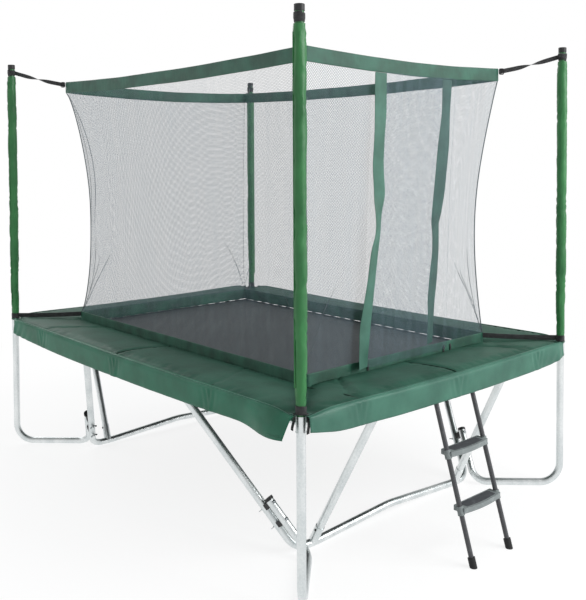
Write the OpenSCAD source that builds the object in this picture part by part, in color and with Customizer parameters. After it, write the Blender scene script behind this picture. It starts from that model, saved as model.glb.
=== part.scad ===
// Rectangular garden trampoline on four bent legs and two tilted U-frames, with a safety net
// hung between four corner poles and a hook-on ladder. Millimetres, +Z up. The origin is on
// the ground under the middle of the jump mat, X runs along the short side and Y along the
// long side. The door and the ladder are on the front, which is the side at -Y.

/* [Frame] */
// Distance between the corner poles along the short side
span_x = 2100; // [1900:10:2400]
// Distance between the corner poles along the long side
span_y = 3010; // [2800:10:3500]
// Height of the frame rails' axis above the ground
rail_z = 850; // [800:5:950]
// Outside diameter of every frame tube
tube_d = 42; // [38:1:45]
// Wall of every frame tube
tube_wall = 2; // [1.5:0.5:3]
// Gap all round between a plugged tube and its socket
fit_gap = 0.2; // [0.1:0.1:0.5]
// Length of the reduced tube ends that plug into the next tube
spigot_len = 60; // [40:5:80]
// Length of the spigot that joins the two halves of a long rail
mid_spigot_len = 38; // [25:1:42]
// Wall of the welded sockets
socket_wall = 2.4; // [2:0.2:4]
// Length of the welded sockets, measured from the axis of the tube that carries them
socket_len = 110; // [90:5:140]
// How far a tube reaches into a welded socket
plug_len = 60; // [40:5:75]

/* [Corner fittings] */
// Height of the lower rim of the corner sockets
corner_low_z = 803; // [740:1:815]
// How far the corner sockets rise above the rail axis
corner_rise = 26; // [22:1:40]
// Distance from the corner axis to the shoulder where a rail butts
corner_arm = 62; // [50:1:90]
// Height of the stop ring inside the corner sockets
stop_h = 8; // [4:1:12]
// Width of the stop ring's ledge
stop_ledge = 6; // [3:1:9]
// Height of the rolled bead at the lower rim
bead_h = 5; // [3:1:10]

/* [Legs] */
// Height of the joint between upright and foot
foot_joint_z = 183; // [170:1:260]
// Bend radius at the heel of a foot
heel_r = 120; // [90:5:130]
// Bend radius at the toe of a foot
toe_r = 90; // [60:5:100]
// Distance along the arm of the U-frame from its ground corner to the end of the toe
toe_end = 284; // [284:1:340]

/* [U-frames] */
// Distance from the corner poles' line to the base tube, along the long side
base_inset = 440; // [380:5:500]
// Half the distance between the ground corners of a U-frame
base_half = 700; // [660:5:760]
// Distance from the middle of a long rail to the top of an arm
arm_top_y = 470; // [400:5:560]
// Bend radius between the base tube and the arms
u_bend_r = 100; // [70:5:110]
// How far the middle of the base tube is raised
base_rise = 34; // [15:1:60]
// Length of level tube inside each ground corner
base_flat = 150; // [140:5:250]
// Bend radius where the base tube starts to rise, and in its middle
rise_r = 600; // [100:50:900]

/* [Braces] */
// Half the distance between the brace sockets on a base tube
brace_base_x = 585; // [560:5:600]
// Half the distance between the brace tops on a short rail
brace_top_x = 520; // [420:5:600]

/* [Clamps] */
// Distance between the axes of the toe and the arm beside it
clamp_pitch = 66; // [60:1:75]
// Distance from the ground corner to the lower clamp, along the arm
clamp_low = 150; // [145:1:180]
// Distance between the two clamps of a pair
clamp_step = 104; // [90:1:104]
// Length of a saddle block along the tubes
saddle_len = 30; // [20:1:40]
// Width of a saddle block across the tubes
saddle_w = 32; // [24:1:38]
// Thickness of a saddle block, with the horns that grip the tubes
saddle_t = 40; // [34:1:46]
// Clearance between a saddle and its tubes
saddle_gap = 0.3; // [0.2:0.1:0.5]
// Thread diameter of the clamp bolts
bolt_d = 8; // [6:1:10]
// Gap all round between a bolt and its hole
bolt_gap = 0.3; // [0.2:0.1:0.5]
// Diameter of a bolt head
bolt_head_d = 19; // [16:1:24]
// Height of a bolt head
bolt_head_h = 5; // [3:0.5:8]
// Length of bolt that stands out of a wing nut
bolt_tail = 6; // [3:1:12]
// Height of a wing nut's hub
nut_h = 10; // [8:1:14]
// Diameter of a wing nut's hub
nut_d = 16; // [14:1:20]
// Span over the tips of a wing nut
nut_span = 46; // [36:1:56]
// Wall of the end caps on the toes
cap_wall = 2.2; // [1.5:0.1:4]
// Length of the end caps on the toes
cap_len = 15; // [10:1:15]

/* [Screws] */
// Shank diameter of the joint screws
screw_d = 6; // [4:0.5:8]
// Head diameter of the joint screws
screw_head_d = 13; // [10:0.5:16]
// Head height of the joint screws
screw_head_h = 4; // [3:0.5:6]

/* [Jump mat] */
// Distance from the corner poles' line to the edge of the mat
mat_inset = 325; // [300:5:360]
// Thickness of the woven mat
mat_t = 3; // [2:0.5:6]
// Width of the doubled hem round the mat
mat_hem_w = 45; // [30:1:70]
// Thickness of the doubled hem
mat_hem_t = 7; // [5:0.5:10]
// How far the mat sinks under a jumper
mat_travel = 350; // [100:10:450]
// Distance between neighbouring springs
spring_pitch = 100; // [80:5:140]
// Outside diameter of a spring's coils
spring_d = 24; // [18:1:30]
// Length of the hook at each end of a spring
spring_hook = 26; // [20:1:34]
// Wire diameter of the hooks and rings
wire_d = 4.5; // [3:0.5:5]
// Length of a mat ring
ring_len = 32; // [24:1:40]
// Width of a mat ring at the mat
ring_w = 36; // [28:1:50]

/* [Pads] */
// Distance from the corner poles' line to the inner edge of the pads
pad_inset = 324; // [316:1:350]
// How far the pads reach past the rail axis
pad_over = 60; // [56:1:90]
// Clearance of the pads over the ladder hooks and springs
pad_gap = 0.8; // [0.3:0.1:3]
// Thickness of the foam pads
pad_t = 22; // [15:1:35]
// Crown of the foam in the middle of a pad
pad_crown = 5; // [0:1:10]
// Depth of the skirt at the corners, from the top of the pad
skirt_end = 92; // [70:1:110]
// How much deeper the skirt is in the middle of a side
skirt_belly = 40; // [0:1:60]
// Sideways waves of the skirt
skirt_wave = 3; // [0:1:4]
// Drop of the pads' outer edge in the middle of a side
pad_droop = 18; // [0:1:20]
// Thickness of the skirt
skirt_t = 5; // [3:0.5:10]
// Half the width of the open notch in the pads round each pole
notch = 32; // [30:1:60]

/* [Net poles] */
// Height of the top of the poles' caps
total_z = 2650; // [2400:10:2800]
// Distance from the top of the poles' caps down to the padded sleeves
sleeve_drop = 84; // [78:1:200]
// Height of the bottom of the padded sleeves
sleeve_low_z = 936; // [925:1:980]
// Diameter of the padded sleeves
sleeve_d = 60; // [52:1:70]
// Diameter of the sleeves where they are tied at the bottom
sleeve_neck_d = 48; // [46:1:52]
// Number of padded sections in a sleeve
sleeve_sections = 4; // [2:1:6]
// Diameter of the black pole caps
pole_cap_d = 47; // [45:1:55]
// Height of the black pole caps
pole_cap_h = 30; // [20:1:45]
// Height of the webbing wrapped round a pole
wrap_h = 40; // [25:1:45]
// Thickness of the webbing wrapped round a pole
wrap_t = 3.5; // [2:0.5:5]

/* [Net] */
// Inset of the net's corners at the top band, from the poles' lines
net_inset_top = 272; // [240:1:300]
// Inset of the net's corners at the bottom band, from the poles' lines
net_inset_low = 333; // [326:1:350]
// How far the free corners of the net pull in at mid height
net_pinch = 68; // [0:1:90]
// Reach of that pull along each wall
net_pinch_reach = 260; // [200:10:400]
// Depth of the soft folds near the corners
net_fold = 7; // [0:1:12]
// Thickness of the net in the model
net_t = 1.6; // [1.2:0.2:4]
// Distance from the top of the poles' caps down to the top of the top band
band_drop = 122; // [90:1:300]
// Height of the top band
band_h = 75; // [50:1:100]
// Thickness of the top band
band_t = 4; // [3:0.5:6]
// Sag of the top band in the middle of a side
band_sag = 22; // [0:1:50]
// Height of the top of the bottom band
rim_top_z = 945; // [925:1:980]
// Height of the bottom band
rim_h = 88; // [60:1:88]
// Thickness of the bottom band
rim_t = 3; // [2:0.5:4]
// Distance of the door's outer flap in front of its inner flap
door_gap = 24; // [16:1:32]
// Where the outer flap is sewn to the wall
outer_sewn_x = 372; // [300:2:450]
// Where the inner flap is sewn to the wall, left of the middle
inner_sewn_x = 310; // [300:2:400]
// Distance from the inner flap's free edge to the outer flap's seam
door_slot = 72; // [60:2:100]
// Reach of the outer flap past the middle, at the top
door_reach = 315; // [200:5:330]
// How far the outer flap's free edge bows back at mid height
door_bow = 45; // [0:5:150]
// Clearance of the flaps over the pad, the bottom band and under the top band
door_clear = 3; // [2:0.5:10]

/* [Straps] */
// Width of the webbing straps
strap_w = 30; // [20:1:40]
// Thickness of the webbing straps
strap_t = 2.4; // [1.5:0.1:4]
// Drop of a top strap from its pole to the net
strap_drop = 84; // [0:1:150]
// Length of a buckle
buckle_len = 34; // [25:1:50]
// Width of a buckle
buckle_w = 38; // [32:1:50]
// Thickness of a buckle
buckle_t = 12; // [8:1:20]

/* [Ladder] */
// Place of the ladder's middle along the front rail
ladder_x = -15; // [-300:5:300]
// How far the ladder's feet stand out from the rail axis
ladder_out = 262; // [200:2:350]
// Distance between the ladder's side rails
ladder_w = 300; // [260:5:400]
// Diameter of the ladder's side rails
ladder_d = 25; // [20:1:32]
// Wall of the ladder's side rails
ladder_wall = 1.5; // [1:0.1:3]
// Height of the lower tread
tread_low_z = 273; // [200:1:320]
// Height of the upper tread
tread_high_z = 533; // [450:1:600]
// Depth of a tread from front to back
tread_depth = 74; // [50:1:90]
// Thickness of a tread's front lip
tread_h = 26; // [18:1:36]
// Bow of a tread's front edge
tread_bow = 16; // [0:1:30]
// Height of the ladder's rubber feet
ladder_foot_h = 46; // [30:1:70]
// Diameter of the ladder's rubber feet
ladder_foot_d = 37; // [32:1:50]
// Thickness of the ladder's hooks
hook_t = 5; // [3:0.5:5]
// Width of the ladder's hooks
hook_w = 22; // [15:1:30]

/* [Hidden] */

$fn = 40;
EPS = 0.01;
CUT = 1;                                  // overrun of a cutting solid past a face
LAP = 1;                                  // overlap of a straight with the bend beside it
BULGE = 0.1;                              // by which a bend is fatter all round
STEEL = [0.79, 0.81, 0.81];
GREEN = [0.20, 0.44, 0.28];
PAD_GREEN = [0.27, 0.46, 0.38];
BLACK = [0.12, 0.12, 0.13];
DARK = [0.30, 0.30, 0.31];
MESH = [0.72, 0.76, 0.74, 0.6];

hx = span_x / 2;
hy = span_y / 2;
tube_r = tube_d / 2;
tube_id = tube_d - 2 * tube_wall;
spigot_d = tube_id - 2 * fit_gap;
spigot_id = spigot_d - 2 * tube_wall;
socket_id = tube_d + 2 * fit_gap;
socket_od = socket_id + 2 * socket_wall;
base_y = hy - base_inset;
SIDES = [-1, 1];

// ---------- vectors and tubes ----------

function unit(v) = v / norm(v);

// Moves its children from the origin, looking along +Z, to point a, looking at point b.
module aim(a, b) {
    v = b - a;
    translate(a) rotate([0, acos(v.z / norm(v)), atan2(v.y, v.x)]) children();
}

module rod(a, b, d) {
    aim(a, b) cylinder(h = norm(b - a), d = d);
}

module pipe(a, b, d, wall) {
    over = unit(b - a) * CUT;
    difference() {
        rod(a, b, d);
        rod(a - over, b + over, d - 2 * wall);
    }
}

// Length that the bend at point i takes from each of the two stretches that meet there.
function setback(p, i, radii, over) =
    i == 0 || i == len(p) - 1 ? -over
    : radii[i] * tan(acos(unit(p[i] - p[i - 1]) * unit(p[i + 1] - p[i])) / 2);

// A bar of diameter d along the points p, with the bend radius radii[i] at point i and its
// ends drawn out by over.
module bent_rod(p, radii, d, over = 0) {
    v = p[1] - p[0];
    tilt = acos(v.z / norm(v));
    turn = atan2(v.y, v.x);
    aim(p[0] - unit(v) * over, p[1])
        stretch(p, 1, radii, d, over, [cos(tilt) * cos(turn), cos(tilt) * sin(turn), -sin(tilt)]);
}

// The straight to point i along +Z, the bend there, and what follows, each in the frame in
// which the one before it ends. side is the frame's X axis. A bend is a hair fatter than the
// straights that run into it, so that the two overlap cleanly.
module stretch(p, i, radii, d, over, side) {
    length = norm(p[i] - p[i - 1]) - setback(p, i - 1, radii, over) - setback(p, i, radii, over);
    before = i > 1 ? LAP : 0;
    after = i < len(p) - 1 ? LAP : 0;
    translate([0, 0, -before]) cylinder(h = before + length + after, d = d);
    if (after > 0) {
        u = unit(p[i] - p[i - 1]);
        v = unit(p[i + 1] - p[i]);
        angle = acos(u * v);
        n = (v - u * cos(angle)) / sin(angle);
        r = radii[i];
        translate([0, 0, length]) rotate([0, 0, atan2(cross(side, n) * u, side * n)])
            translate([r, 0, 0]) {
                rotate([90, 0, 180]) rotate_extrude(angle = angle)
                    translate([r, 0]) circle(d = d + 2 * BULGE);
                rotate([0, angle, 0]) translate([-r, 0, 0])
                    stretch(p, i + 1, radii, d, over, n * cos(angle) - u * sin(angle));
            }
    }
}

// ---------- routes of the tubes, for the corner at sides sx, sy ----------

// Ground corner of a U-frame, top of its arm on the long rail's axis, and the arm's direction.
function arm_low(sx, sy) = [sx * base_half, sy * base_y, tube_r];
function arm_high(sx, sy) = [sx * hx, sy * arm_top_y, rail_z];
function arm_dir(sx, sy) = unit(arm_high(sx, sy) - arm_low(sx, sy));
function arm_at(sx, sy, s) = arm_low(sx, sy) + arm_dir(sx, sy) * s;

// Square to the arm, from the arm's axis to the toe's: outwards and up, in a plane along Y.
function clamp_dir(sx, sy) =
    let (a = arm_dir(sx, sy)) unit([0, sy * a.z, -sy * a.y]);
function toe_at(sx, sy, s) = arm_at(sx, sy, s) + clamp_dir(sx, sy) * clamp_pitch;
// Where the toe's axis would meet the foot's level run.
function toe_low(sx, sy) =
    toe_at(sx, sy, -clamp_dir(sx, sy).z * clamp_pitch / arm_dir(sx, sy).z);

// Foot of a brace on the base tube, and its top on the short rail's axis.
function brace_low(sx, sy) = [sx * brace_base_x, sy * base_y, tube_r];
function brace_high(sx, sy) = [sx * brace_top_x, sy * hy, rail_z];
function brace_dir(sx, sy) = unit(brace_high(sx, sy) - brace_low(sx, sy));

// Square to dir and to Y, facing outwards.
function screw_side(sx, dir) = let (s = unit(cross(dir, [0, 1, 0]))) s * sign(s.x * sx);

// ---------- welded sockets and their screws ----------

// The outside of a socket that starts at the carrying tube's axis p and runs along dir.
module socket_body(p, dir) {
    rod(p, p + dir * socket_len, socket_od);
}

// Its bore, for a plug that stops plug_len inside, and the hole for its screw.
module socket_bore(p, dir) {
    rod(p + dir * (socket_len - plug_len - fit_gap), p + dir * (socket_len + CUT), socket_id);
}

function screw_at(p, dir) = p + dir * (socket_len - plug_len / 3);

// A radial hole or screw, from inside the tube wall outwards along side.
module screw_hole(p, dir, side) {
    c = screw_at(p, dir);
    rod(c + side * (tube_r - tube_wall - CUT), c + side * (socket_od / 2 + CUT), screw_d + 2 * bolt_gap);
}

module screw(p, dir, side) {
    c = screw_at(p, dir);
    seat = c + side * socket_od / 2;
    rod(c + side * (tube_r - tube_wall - 3), seat + side * screw_head_h / 2, screw_d);
    intersection() {
        rod(seat, seat + side * screw_head_h, screw_head_d);
        translate(seat - side * (screw_head_d - screw_head_h)) sphere(d = 2 * screw_head_d);
    }
}

// ---------- corner fittings, rails ----------

// Corner socket: a vertical tube with a stop ring, and a spigot for each rail.
module corner(sx, sy) {
    arm_bore = spigot_id;
    color(STEEL) translate([sx * hx, sy * hy, 0]) difference() {
        union() {
            translate([0, 0, corner_low_z])
                cylinder(h = rail_z + corner_rise - corner_low_z, d = socket_od);
            translate([0, 0, corner_low_z]) cylinder(h = bead_h, d = socket_od + socket_wall);
            for (out = [[-sx, 0, 0], [0, -sy, 0]]) {
                rod([0, 0, rail_z], out * corner_arm + [0, 0, rail_z], tube_d);
                rod([0, 0, rail_z], out * (corner_arm + spigot_len) + [0, 0, rail_z], spigot_d);
            }
        }
        translate([0, 0, corner_low_z - CUT])
            cylinder(h = rail_z - stop_h / 2 - corner_low_z + CUT, d = socket_id);
        translate([0, 0, rail_z + stop_h / 2]) cylinder(h = corner_rise + CUT, d = socket_id);
        translate([0, 0, rail_z - stop_h]) cylinder(h = 2 * stop_h, d = socket_id - 2 * stop_ledge);
        for (out = [[-sx, 0, 0], [0, -sy, 0]])
            rod(out * (socket_od / 2 + 2) + [0, 0, rail_z],
                out * (corner_arm + spigot_len + CUT) + [0, 0, rail_z], arm_bore);
    }
}

mat_x = hx - mat_inset;
mat_y = hy - mat_inset;
// An even number of springs, so that none meets the joint in the middle of a long rail.
function spring_count(half) = 2 * floor((half - 0.8 * ring_w) / spring_pitch + 0.5);
count_x = spring_count(mat_x);
count_y = spring_count(mat_y);
function spring_at(i, count) = (i - (count - 1) / 2) * spring_pitch;
rail_hole_d = wire_d + 2 * bolt_gap;

// Half of a long rail, from its corner fitting to the middle. The front half ends in a spigot.
module long_rail(sx, sy) {
    c = [sx * hx, 0, rail_z];
    d = -arm_dir(sx, sy);
    top = arm_high(sx, sy);
    side = screw_side(sx, d);
    color(STEEL) difference() {
        union() {
            rod(c + [0, sy * (hy - corner_arm), 0], c, tube_d);
            if (sy < 0) rod(c - [0, 2 * mid_spigot_len, 0], c + [0, mid_spigot_len, 0], spigot_d);
            socket_body(top, d);
        }
        difference() {
            rod(c + [0, sy * (hy - corner_arm + CUT), 0], c - [0, sy * CUT, 0], tube_id);
            if (sy < 0) rod(c - [0, 2 * mid_spigot_len, 0], c + [0, CUT, 0], tube_id + 1);
        }
        if (sy < 0)
            rod(c - [0, 2 * mid_spigot_len + CUT, 0], c + [0, mid_spigot_len + CUT, 0], spigot_id);
        socket_bore(top, d);
        screw_hole(top, d, side);
        for (i = [0:count_y - 1])
            if (spring_at(i, count_y) * sy > 0)
                rod(c + [0, spring_at(i, count_y), 0], c + [-sx * tube_d, spring_at(i, count_y), 0],
                    rail_hole_d);
    }
}

// A short rail with a socket for each of its two braces.
module short_rail(sy) {
    a = [-hx + corner_arm, sy * hy, rail_z];
    b = [hx - corner_arm, sy * hy, rail_z];
    over = [CUT, 0, 0];
    color(STEEL) difference() {
        union() {
            rod(a, b, tube_d);
            for (sx = SIDES) socket_body(brace_high(sx, sy), -brace_dir(sx, sy));
        }
        rod(a - over, b + over, tube_id);
        for (sx = SIDES) {
            socket_bore(brace_high(sx, sy), -brace_dir(sx, sy));
            screw_hole(brace_high(sx, sy), -brace_dir(sx, sy), screw_side(sx, -brace_dir(sx, sy)));
        }
        for (i = [0:count_x - 1])
            rod([spring_at(i, count_x), sy * hy, rail_z],
                [spring_at(i, count_x), sy * (hy - tube_d), rail_z], rail_hole_d);
    }
}

// ---------- legs ----------

module upright(sx, sy) {
    color(STEEL) pipe([sx * hx, sy * hy, foot_joint_z],
        [sx * hx, sy * hy, rail_z - stop_h / 2], tube_d, tube_wall);
}

// The foot drops from the upright, runs inwards on the ground and turns up beside the arm.
module foot(sx, sy) {
    c = [sx * hx, sy * hy, 0];
    route = [
        c + [0, 0, foot_joint_z],
        c + [0, 0, tube_r],
        toe_low(sx, sy),
        toe_at(sx, sy, toe_end)
    ];
    ring = 12;                            // thick stretch that holds the spigot
    bore = [c + [0, 0, foot_joint_z - ring], route[1], route[2], route[3]];
    color(STEEL) {
        difference() {
            union() {
                bent_rod(route, [0, heel_r, toe_r, 0], tube_d);
                rod(c + [0, 0, foot_joint_z - ring], c + [0, 0, foot_joint_z + spigot_len], spigot_d);
            }
            bent_rod(bore, [0, heel_r, toe_r, 0], tube_id, CUT);
            rod(c + [0, 0, foot_joint_z - 2 * ring], c + [0, 0, foot_joint_z + spigot_len + CUT],
                spigot_id);
            for (s = [clamp_low, clamp_low + clamp_step]) clamp_hole(sx, sy, s);
        }
    }
}

// ---------- U-frames and braces ----------

module u_frame(sy) {
    plug = socket_len - plug_len;
    level = base_half - base_flat;
    route = [
        arm_high(-1, sy) - arm_dir(-1, sy) * plug,
        arm_low(-1, sy),
        [-level, sy * base_y, tube_r],
        [0, sy * base_y, tube_r + base_rise],
        [level, sy * base_y, tube_r],
        arm_low(1, sy),
        arm_high(1, sy) - arm_dir(1, sy) * plug
    ];
    radii = [0, u_bend_r, rise_r, rise_r, rise_r, u_bend_r, 0];
    color(STEEL) difference() {
        union() {
            bent_rod(route, radii, tube_d);
            for (sx = SIDES) socket_body(brace_low(sx, sy), brace_dir(sx, sy));
        }
        bent_rod(route, radii, tube_id, CUT);
        for (sx = SIDES) {
            side = screw_side(sx, brace_dir(sx, sy));
            socket_bore(brace_low(sx, sy), brace_dir(sx, sy));
            screw_hole(brace_low(sx, sy), brace_dir(sx, sy), side);
            for (s = [clamp_low, clamp_low + clamp_step]) clamp_hole(sx, sy, s);
            arm_screw = screw_side(sx, -arm_dir(sx, sy));
            screw_hole(arm_high(sx, sy), -arm_dir(sx, sy), arm_screw);
        }
    }
}

module brace(sx, sy) {
    d = brace_dir(sx, sy);
    plug = socket_len - plug_len;
    color(STEEL) difference() {
        pipe(brace_low(sx, sy) + d * plug, brace_high(sx, sy) - d * plug, tube_d, tube_wall);
        screw_hole(brace_low(sx, sy), d, screw_side(sx, d));
        screw_hole(brace_high(sx, sy), -d, screw_side(sx, -d));
    }
}

// ---------- clamps between toes and arms ----------

// Runs its children at each of the eight clamps: origin on the arm's axis, +Z to the toe,
// +X along the arm.
module at_clamp(sx, sy, s) {
    z = clamp_dir(sx, sy);
    x = arm_dir(sx, sy);
    y = cross(z, x);
    p = arm_at(sx, sy, s);
    multmatrix([
        [x.x, y.x, z.x, p.x],
        [x.y, y.y, z.y, p.y],
        [x.z, y.z, z.z, p.z],
        [0, 0, 0, 1]
    ]) children();
}

module at_clamps() {
    for (sx = SIDES, sy = SIDES, s = [clamp_low, clamp_low + clamp_step])
        at_clamp(sx, sy, s) children();
}

module clamp_hole(sx, sy, s) {
    at_clamp(sx, sy, s) translate([0, 0, -tube_d])
        cylinder(h = clamp_pitch + 2 * tube_d, d = bolt_d + 2 * bolt_gap);
}

module clamp_saddles() {
    color(BLACK) at_clamps() difference() {
        translate([-saddle_len / 2, -saddle_w / 2, clamp_pitch / 2 - saddle_t / 2])
            cube([saddle_len, saddle_w, saddle_t]);
        for (z = [0, clamp_pitch])
            translate([-saddle_len, 0, z]) rotate([0, 90, 0])
                cylinder(h = 2 * saddle_len, d = tube_d + 2 * saddle_gap);
        cylinder(h = clamp_pitch, d = bolt_d + 2 * bolt_gap);
    }
}

nut_seat = tube_r + saddle_gap;

module clamp_bolts() {
    color(BLACK) at_clamps() {
        translate([0, 0, -nut_seat - nut_h - bolt_tail])
            cylinder(h = clamp_pitch + 2 * nut_seat + nut_h + bolt_tail + EPS, d = bolt_d);
        translate([0, 0, clamp_pitch + nut_seat]) intersection() {
            cylinder(h = bolt_head_h, d = bolt_head_d);
            translate([0, 0, bolt_head_h - bolt_head_d]) sphere(d = 2 * bolt_head_d);
        }
    }
}

module wing_nuts() {
    wing_t = 3.4;
    tip_r = 6;
    color(STEEL) at_clamps() translate([0, 0, -nut_seat - nut_h]) difference() {
        union() {
            cylinder(h = nut_h, d1 = nut_d - 4, d2 = nut_d);
            rotate([0, 0, 90]) rotate([90, 0, 0]) linear_extrude(wing_t, center = true) {
                for (m = [0, 1]) mirror([m, 0]) {
                    translate([nut_span / 2 - tip_r, -tip_r / 2]) circle(tip_r);
                    polygon([[0, 1], [nut_d / 2 - 2, 1], [nut_span / 2 - tip_r, -1.5 * tip_r],
                        [nut_span / 2 - 1, -tip_r], [nut_span / 2 - tip_r, tip_r / 2],
                        [nut_d / 2 - 2, nut_h - 1], [0, nut_h - 1]]);
                }
            }
        }
        translate([0, 0, -nut_span]) cylinder(h = 2 * nut_span, d = bolt_d + 2 * bolt_gap);
    }
}

module toe_caps() {
    d_out = tube_d + 2 * (cap_wall + fit_gap);
    color(BLACK) for (sx = SIDES, sy = SIDES) {
        p = toe_at(sx, sy, toe_end);
        u = arm_dir(sx, sy);
        difference() {
            rod(p - u * (cap_len - cap_wall), p + u * cap_wall, d_out);
            rod(p - u * (cap_len + CUT), p, tube_d + 2 * fit_gap);
        }
    }
}

module joint_screws() {
    color(DARK) for (sx = SIDES, sy = SIDES) {
        b = brace_dir(sx, sy);
        a = -arm_dir(sx, sy);
        screw(brace_low(sx, sy), b, screw_side(sx, b));
        screw(brace_high(sx, sy), -b, screw_side(sx, -b));
        screw(arm_high(sx, sy), a, screw_side(sx, a));
    }
}

// ---------- net poles ----------

pole_top = total_z - 4;                   // the caps are 4 mm thick on top
sleeve_top_z = total_z - sleeve_drop;
module net_pole(sx, sy) {
    foot_z = rail_z + stop_h / 2;
    color(GREEN) translate([sx * hx, sy * hy, foot_z]) difference() {
        cylinder(h = pole_top - foot_z, d = tube_d);
        translate([0, 0, -CUT]) cylinder(h = pole_top - foot_z + 2 * CUT, d = tube_id);
    }
}

// Radius of a padded sleeve at fraction t of its length, to a tenth of a millimetre: swollen
// between the seams, and drawn in towards the tie at the bottom.
function sleeve_r(t) =
    let (
        body = sleeve_neck_d + (sleeve_d - sleeve_neck_d) * min(1, t * 3.2),
        seam = pow(abs(cos(180 * t * sleeve_sections)), 14)
    ) round(10 * max(tube_r + 2, body / 2 - 3 * seam)) / 10;

module pole_sleeves() {
    steps = 8 * sleeve_sections;
    bore = tube_r + 0.3;
    length = sleeve_top_z - sleeve_low_z;
    outline = [for (i = [0:steps]) [sleeve_r(i / steps), length * i / steps]];
    color(GREEN) for (sx = SIDES, sy = SIDES)
        translate([sx * hx, sy * hy, sleeve_low_z])
            rotate_extrude() polygon(concat([[bore, 0]], outline, [[bore, length]]));
}

module pole_caps() {
    round = 6;
    corner = [pole_cap_d / 2 - round, pole_cap_h - round / 2];
    rim = [for (a = [0:18:90]) corner + [round * cos(a), round / 2 * sin(a)]];
    color(BLACK) for (sx = SIDES, sy = SIDES)
        translate([sx * hx, sy * hy, total_z - pole_cap_h]) difference() {
            rotate_extrude() polygon(concat([[0, pole_cap_h], [0, 0], [pole_cap_d / 2, 0]], rim));
            translate([0, 0, -CUT])
                cylinder(h = pole_cap_h - (total_z - pole_top) + CUT, d = tube_d + 2 * fit_gap);
        }
}

// Webbing wound round each pole: at the top for the net's straps, and under the sleeve.
wrap_top_z = (sleeve_top_z + total_z - pole_cap_h) / 2;
wrap_low_z = sleeve_low_z - strap_w / 2 - 4;
wrap_r = tube_r + 0.3 + wrap_t;
module pole_wraps() {
    color(BLACK) for (sx = SIDES, sy = SIDES, w = [[wrap_top_z, wrap_h], [wrap_low_z, strap_w + 4]])
        translate([sx * hx, sy * hy, w[0] - w[1] / 2]) difference() {
            cylinder(h = w[1], r = wrap_r);
            translate([0, 0, -CUT]) cylinder(h = w[1] + 2 * CUT, r = tube_r + 0.3);
        }
}

// ---------- jump mat, rings and springs ----------

module jump_mat() {
    hem = [2 * mat_x, 2 * mat_y, mat_hem_t];
    inner = hem - [2 * mat_hem_w, 2 * mat_hem_w, -2 * CUT];
    color(DARK) translate([0, 0, rail_z]) {
        cube([2 * mat_x, 2 * mat_y, mat_t], center = true);
        difference() {
            cube(hem, center = true);
            cube(inner, center = true);
        }
    }
}

// Runs its children at each spring: origin on the mat's edge, +X to the rail, +Z up.
module at_springs() {
    for (s = SIDES) {
        for (i = [0:count_y - 1])
            translate([s * mat_x, spring_at(i, count_y), rail_z]) rotate([0, 0, s > 0 ? 0 : 180])
                children();
        for (i = [0:count_x - 1])
            translate([spring_at(i, count_x), s * mat_y, rail_z]) rotate([0, 0, s * 90]) children();
    }
}

ring_gap = 0.3;
module mat_rings() {
    tip = 1.6 * wire_d;
    color(STEEL) at_springs() translate([ring_gap, 0, -wire_d / 2]) difference() {
        linear_extrude(wire_d)
            polygon([[0, -ring_w / 2], [0, ring_w / 2], [ring_len, tip], [ring_len, -tip]]);
        translate([0, 0, -CUT]) linear_extrude(wire_d + 2 * CUT)
            polygon([[wire_d, -ring_w / 2 + 1.4 * wire_d], [wire_d, ring_w / 2 - 1.4 * wire_d],
                [ring_len - wire_d, tip - wire_d * 0.8], [ring_len - wire_d, -tip + wire_d * 0.8]]);
    }
}

// Closed outer shape of the coils, with the straight of the hook at each end. The outer hook
// goes through the rail's wall.
module springs() {
    start = ring_gap + ring_len + ring_gap;
    wall = mat_inset - tube_r;
    end = wall + tube_wall + 2 * wire_d;
    coil = wall - start - 2 * spring_hook;
    taper = 8;
    color(STEEL) at_springs() rotate([0, 90, 0]) {
        translate([0, 0, start]) cylinder(h = end - start, d = wire_d);
        translate([0, 0, start + spring_hook - taper])
            cylinder(h = taper, d1 = wire_d, d2 = spring_d);
        translate([0, 0, start + spring_hook]) cylinder(h = coil, d = spring_d);
        translate([0, 0, start + spring_hook + coil])
            cylinder(h = taper, d1 = spring_d, d2 = wire_d);
    }
}

// ---------- sheets and soft forms ----------

// Closed skin of a loft. rings[i] is cross-section i: its first half runs along one face and
// its second half back along the other, so that opposite points close the ends in pairs. Both
// faces are cut along the same diagonals, so that a warped sheet keeps its thickness.
module loft(rings, closed = false) {
    n = len(rings[0]);
    m = len(rings);
    half = n / 2;
    end = (m - 1) * n;
    sides = [
        for (i = [0:closed ? m - 1 : m - 2], j = [0:n - 1])
            let (
                k = (j + 1) % n, up = ((i + 1) % m) * n,
                a = i * n + j, b = i * n + k, c = up + k, d = up + j
            ) each j < half - 1 ? [[a, c, b], [a, d, c]] : [[a, d, b], [b, d, c]]
    ];
    ends = closed ? [] : [
        for (j = [0:half - 2])
            let (a = j, b = j + 1, c = n - 2 - j, d = n - 1 - j)
                each [[a, b, c], [a, c, d], [end + a, end + c, end + b], [end + a, end + d, end + c]]
    ];
    polyhedron([for (ring = rings) each ring], concat(sides, ends));
}

// Plan point on side k (0 front, 1 right, 2 back, 3 left), at run along the side and at n
// outwards from the middle.
function plan(k, run, n) =
    k == 0 ? [run, -n] : k == 1 ? [n, run] : k == 2 ? [-run, n] : [-n, -run];
function along(k) = k % 2 == 0 ? hx : hy;
function square_to(k) = k % 2 == 0 ? hy : hx;
function dense(t) = 1.5 * t - 0.5 * pow(t, 3);
function ease(t) = let (c = min(1, max(0, t))) c * c * (3 - 2 * c);

// ---------- pads ----------

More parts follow.
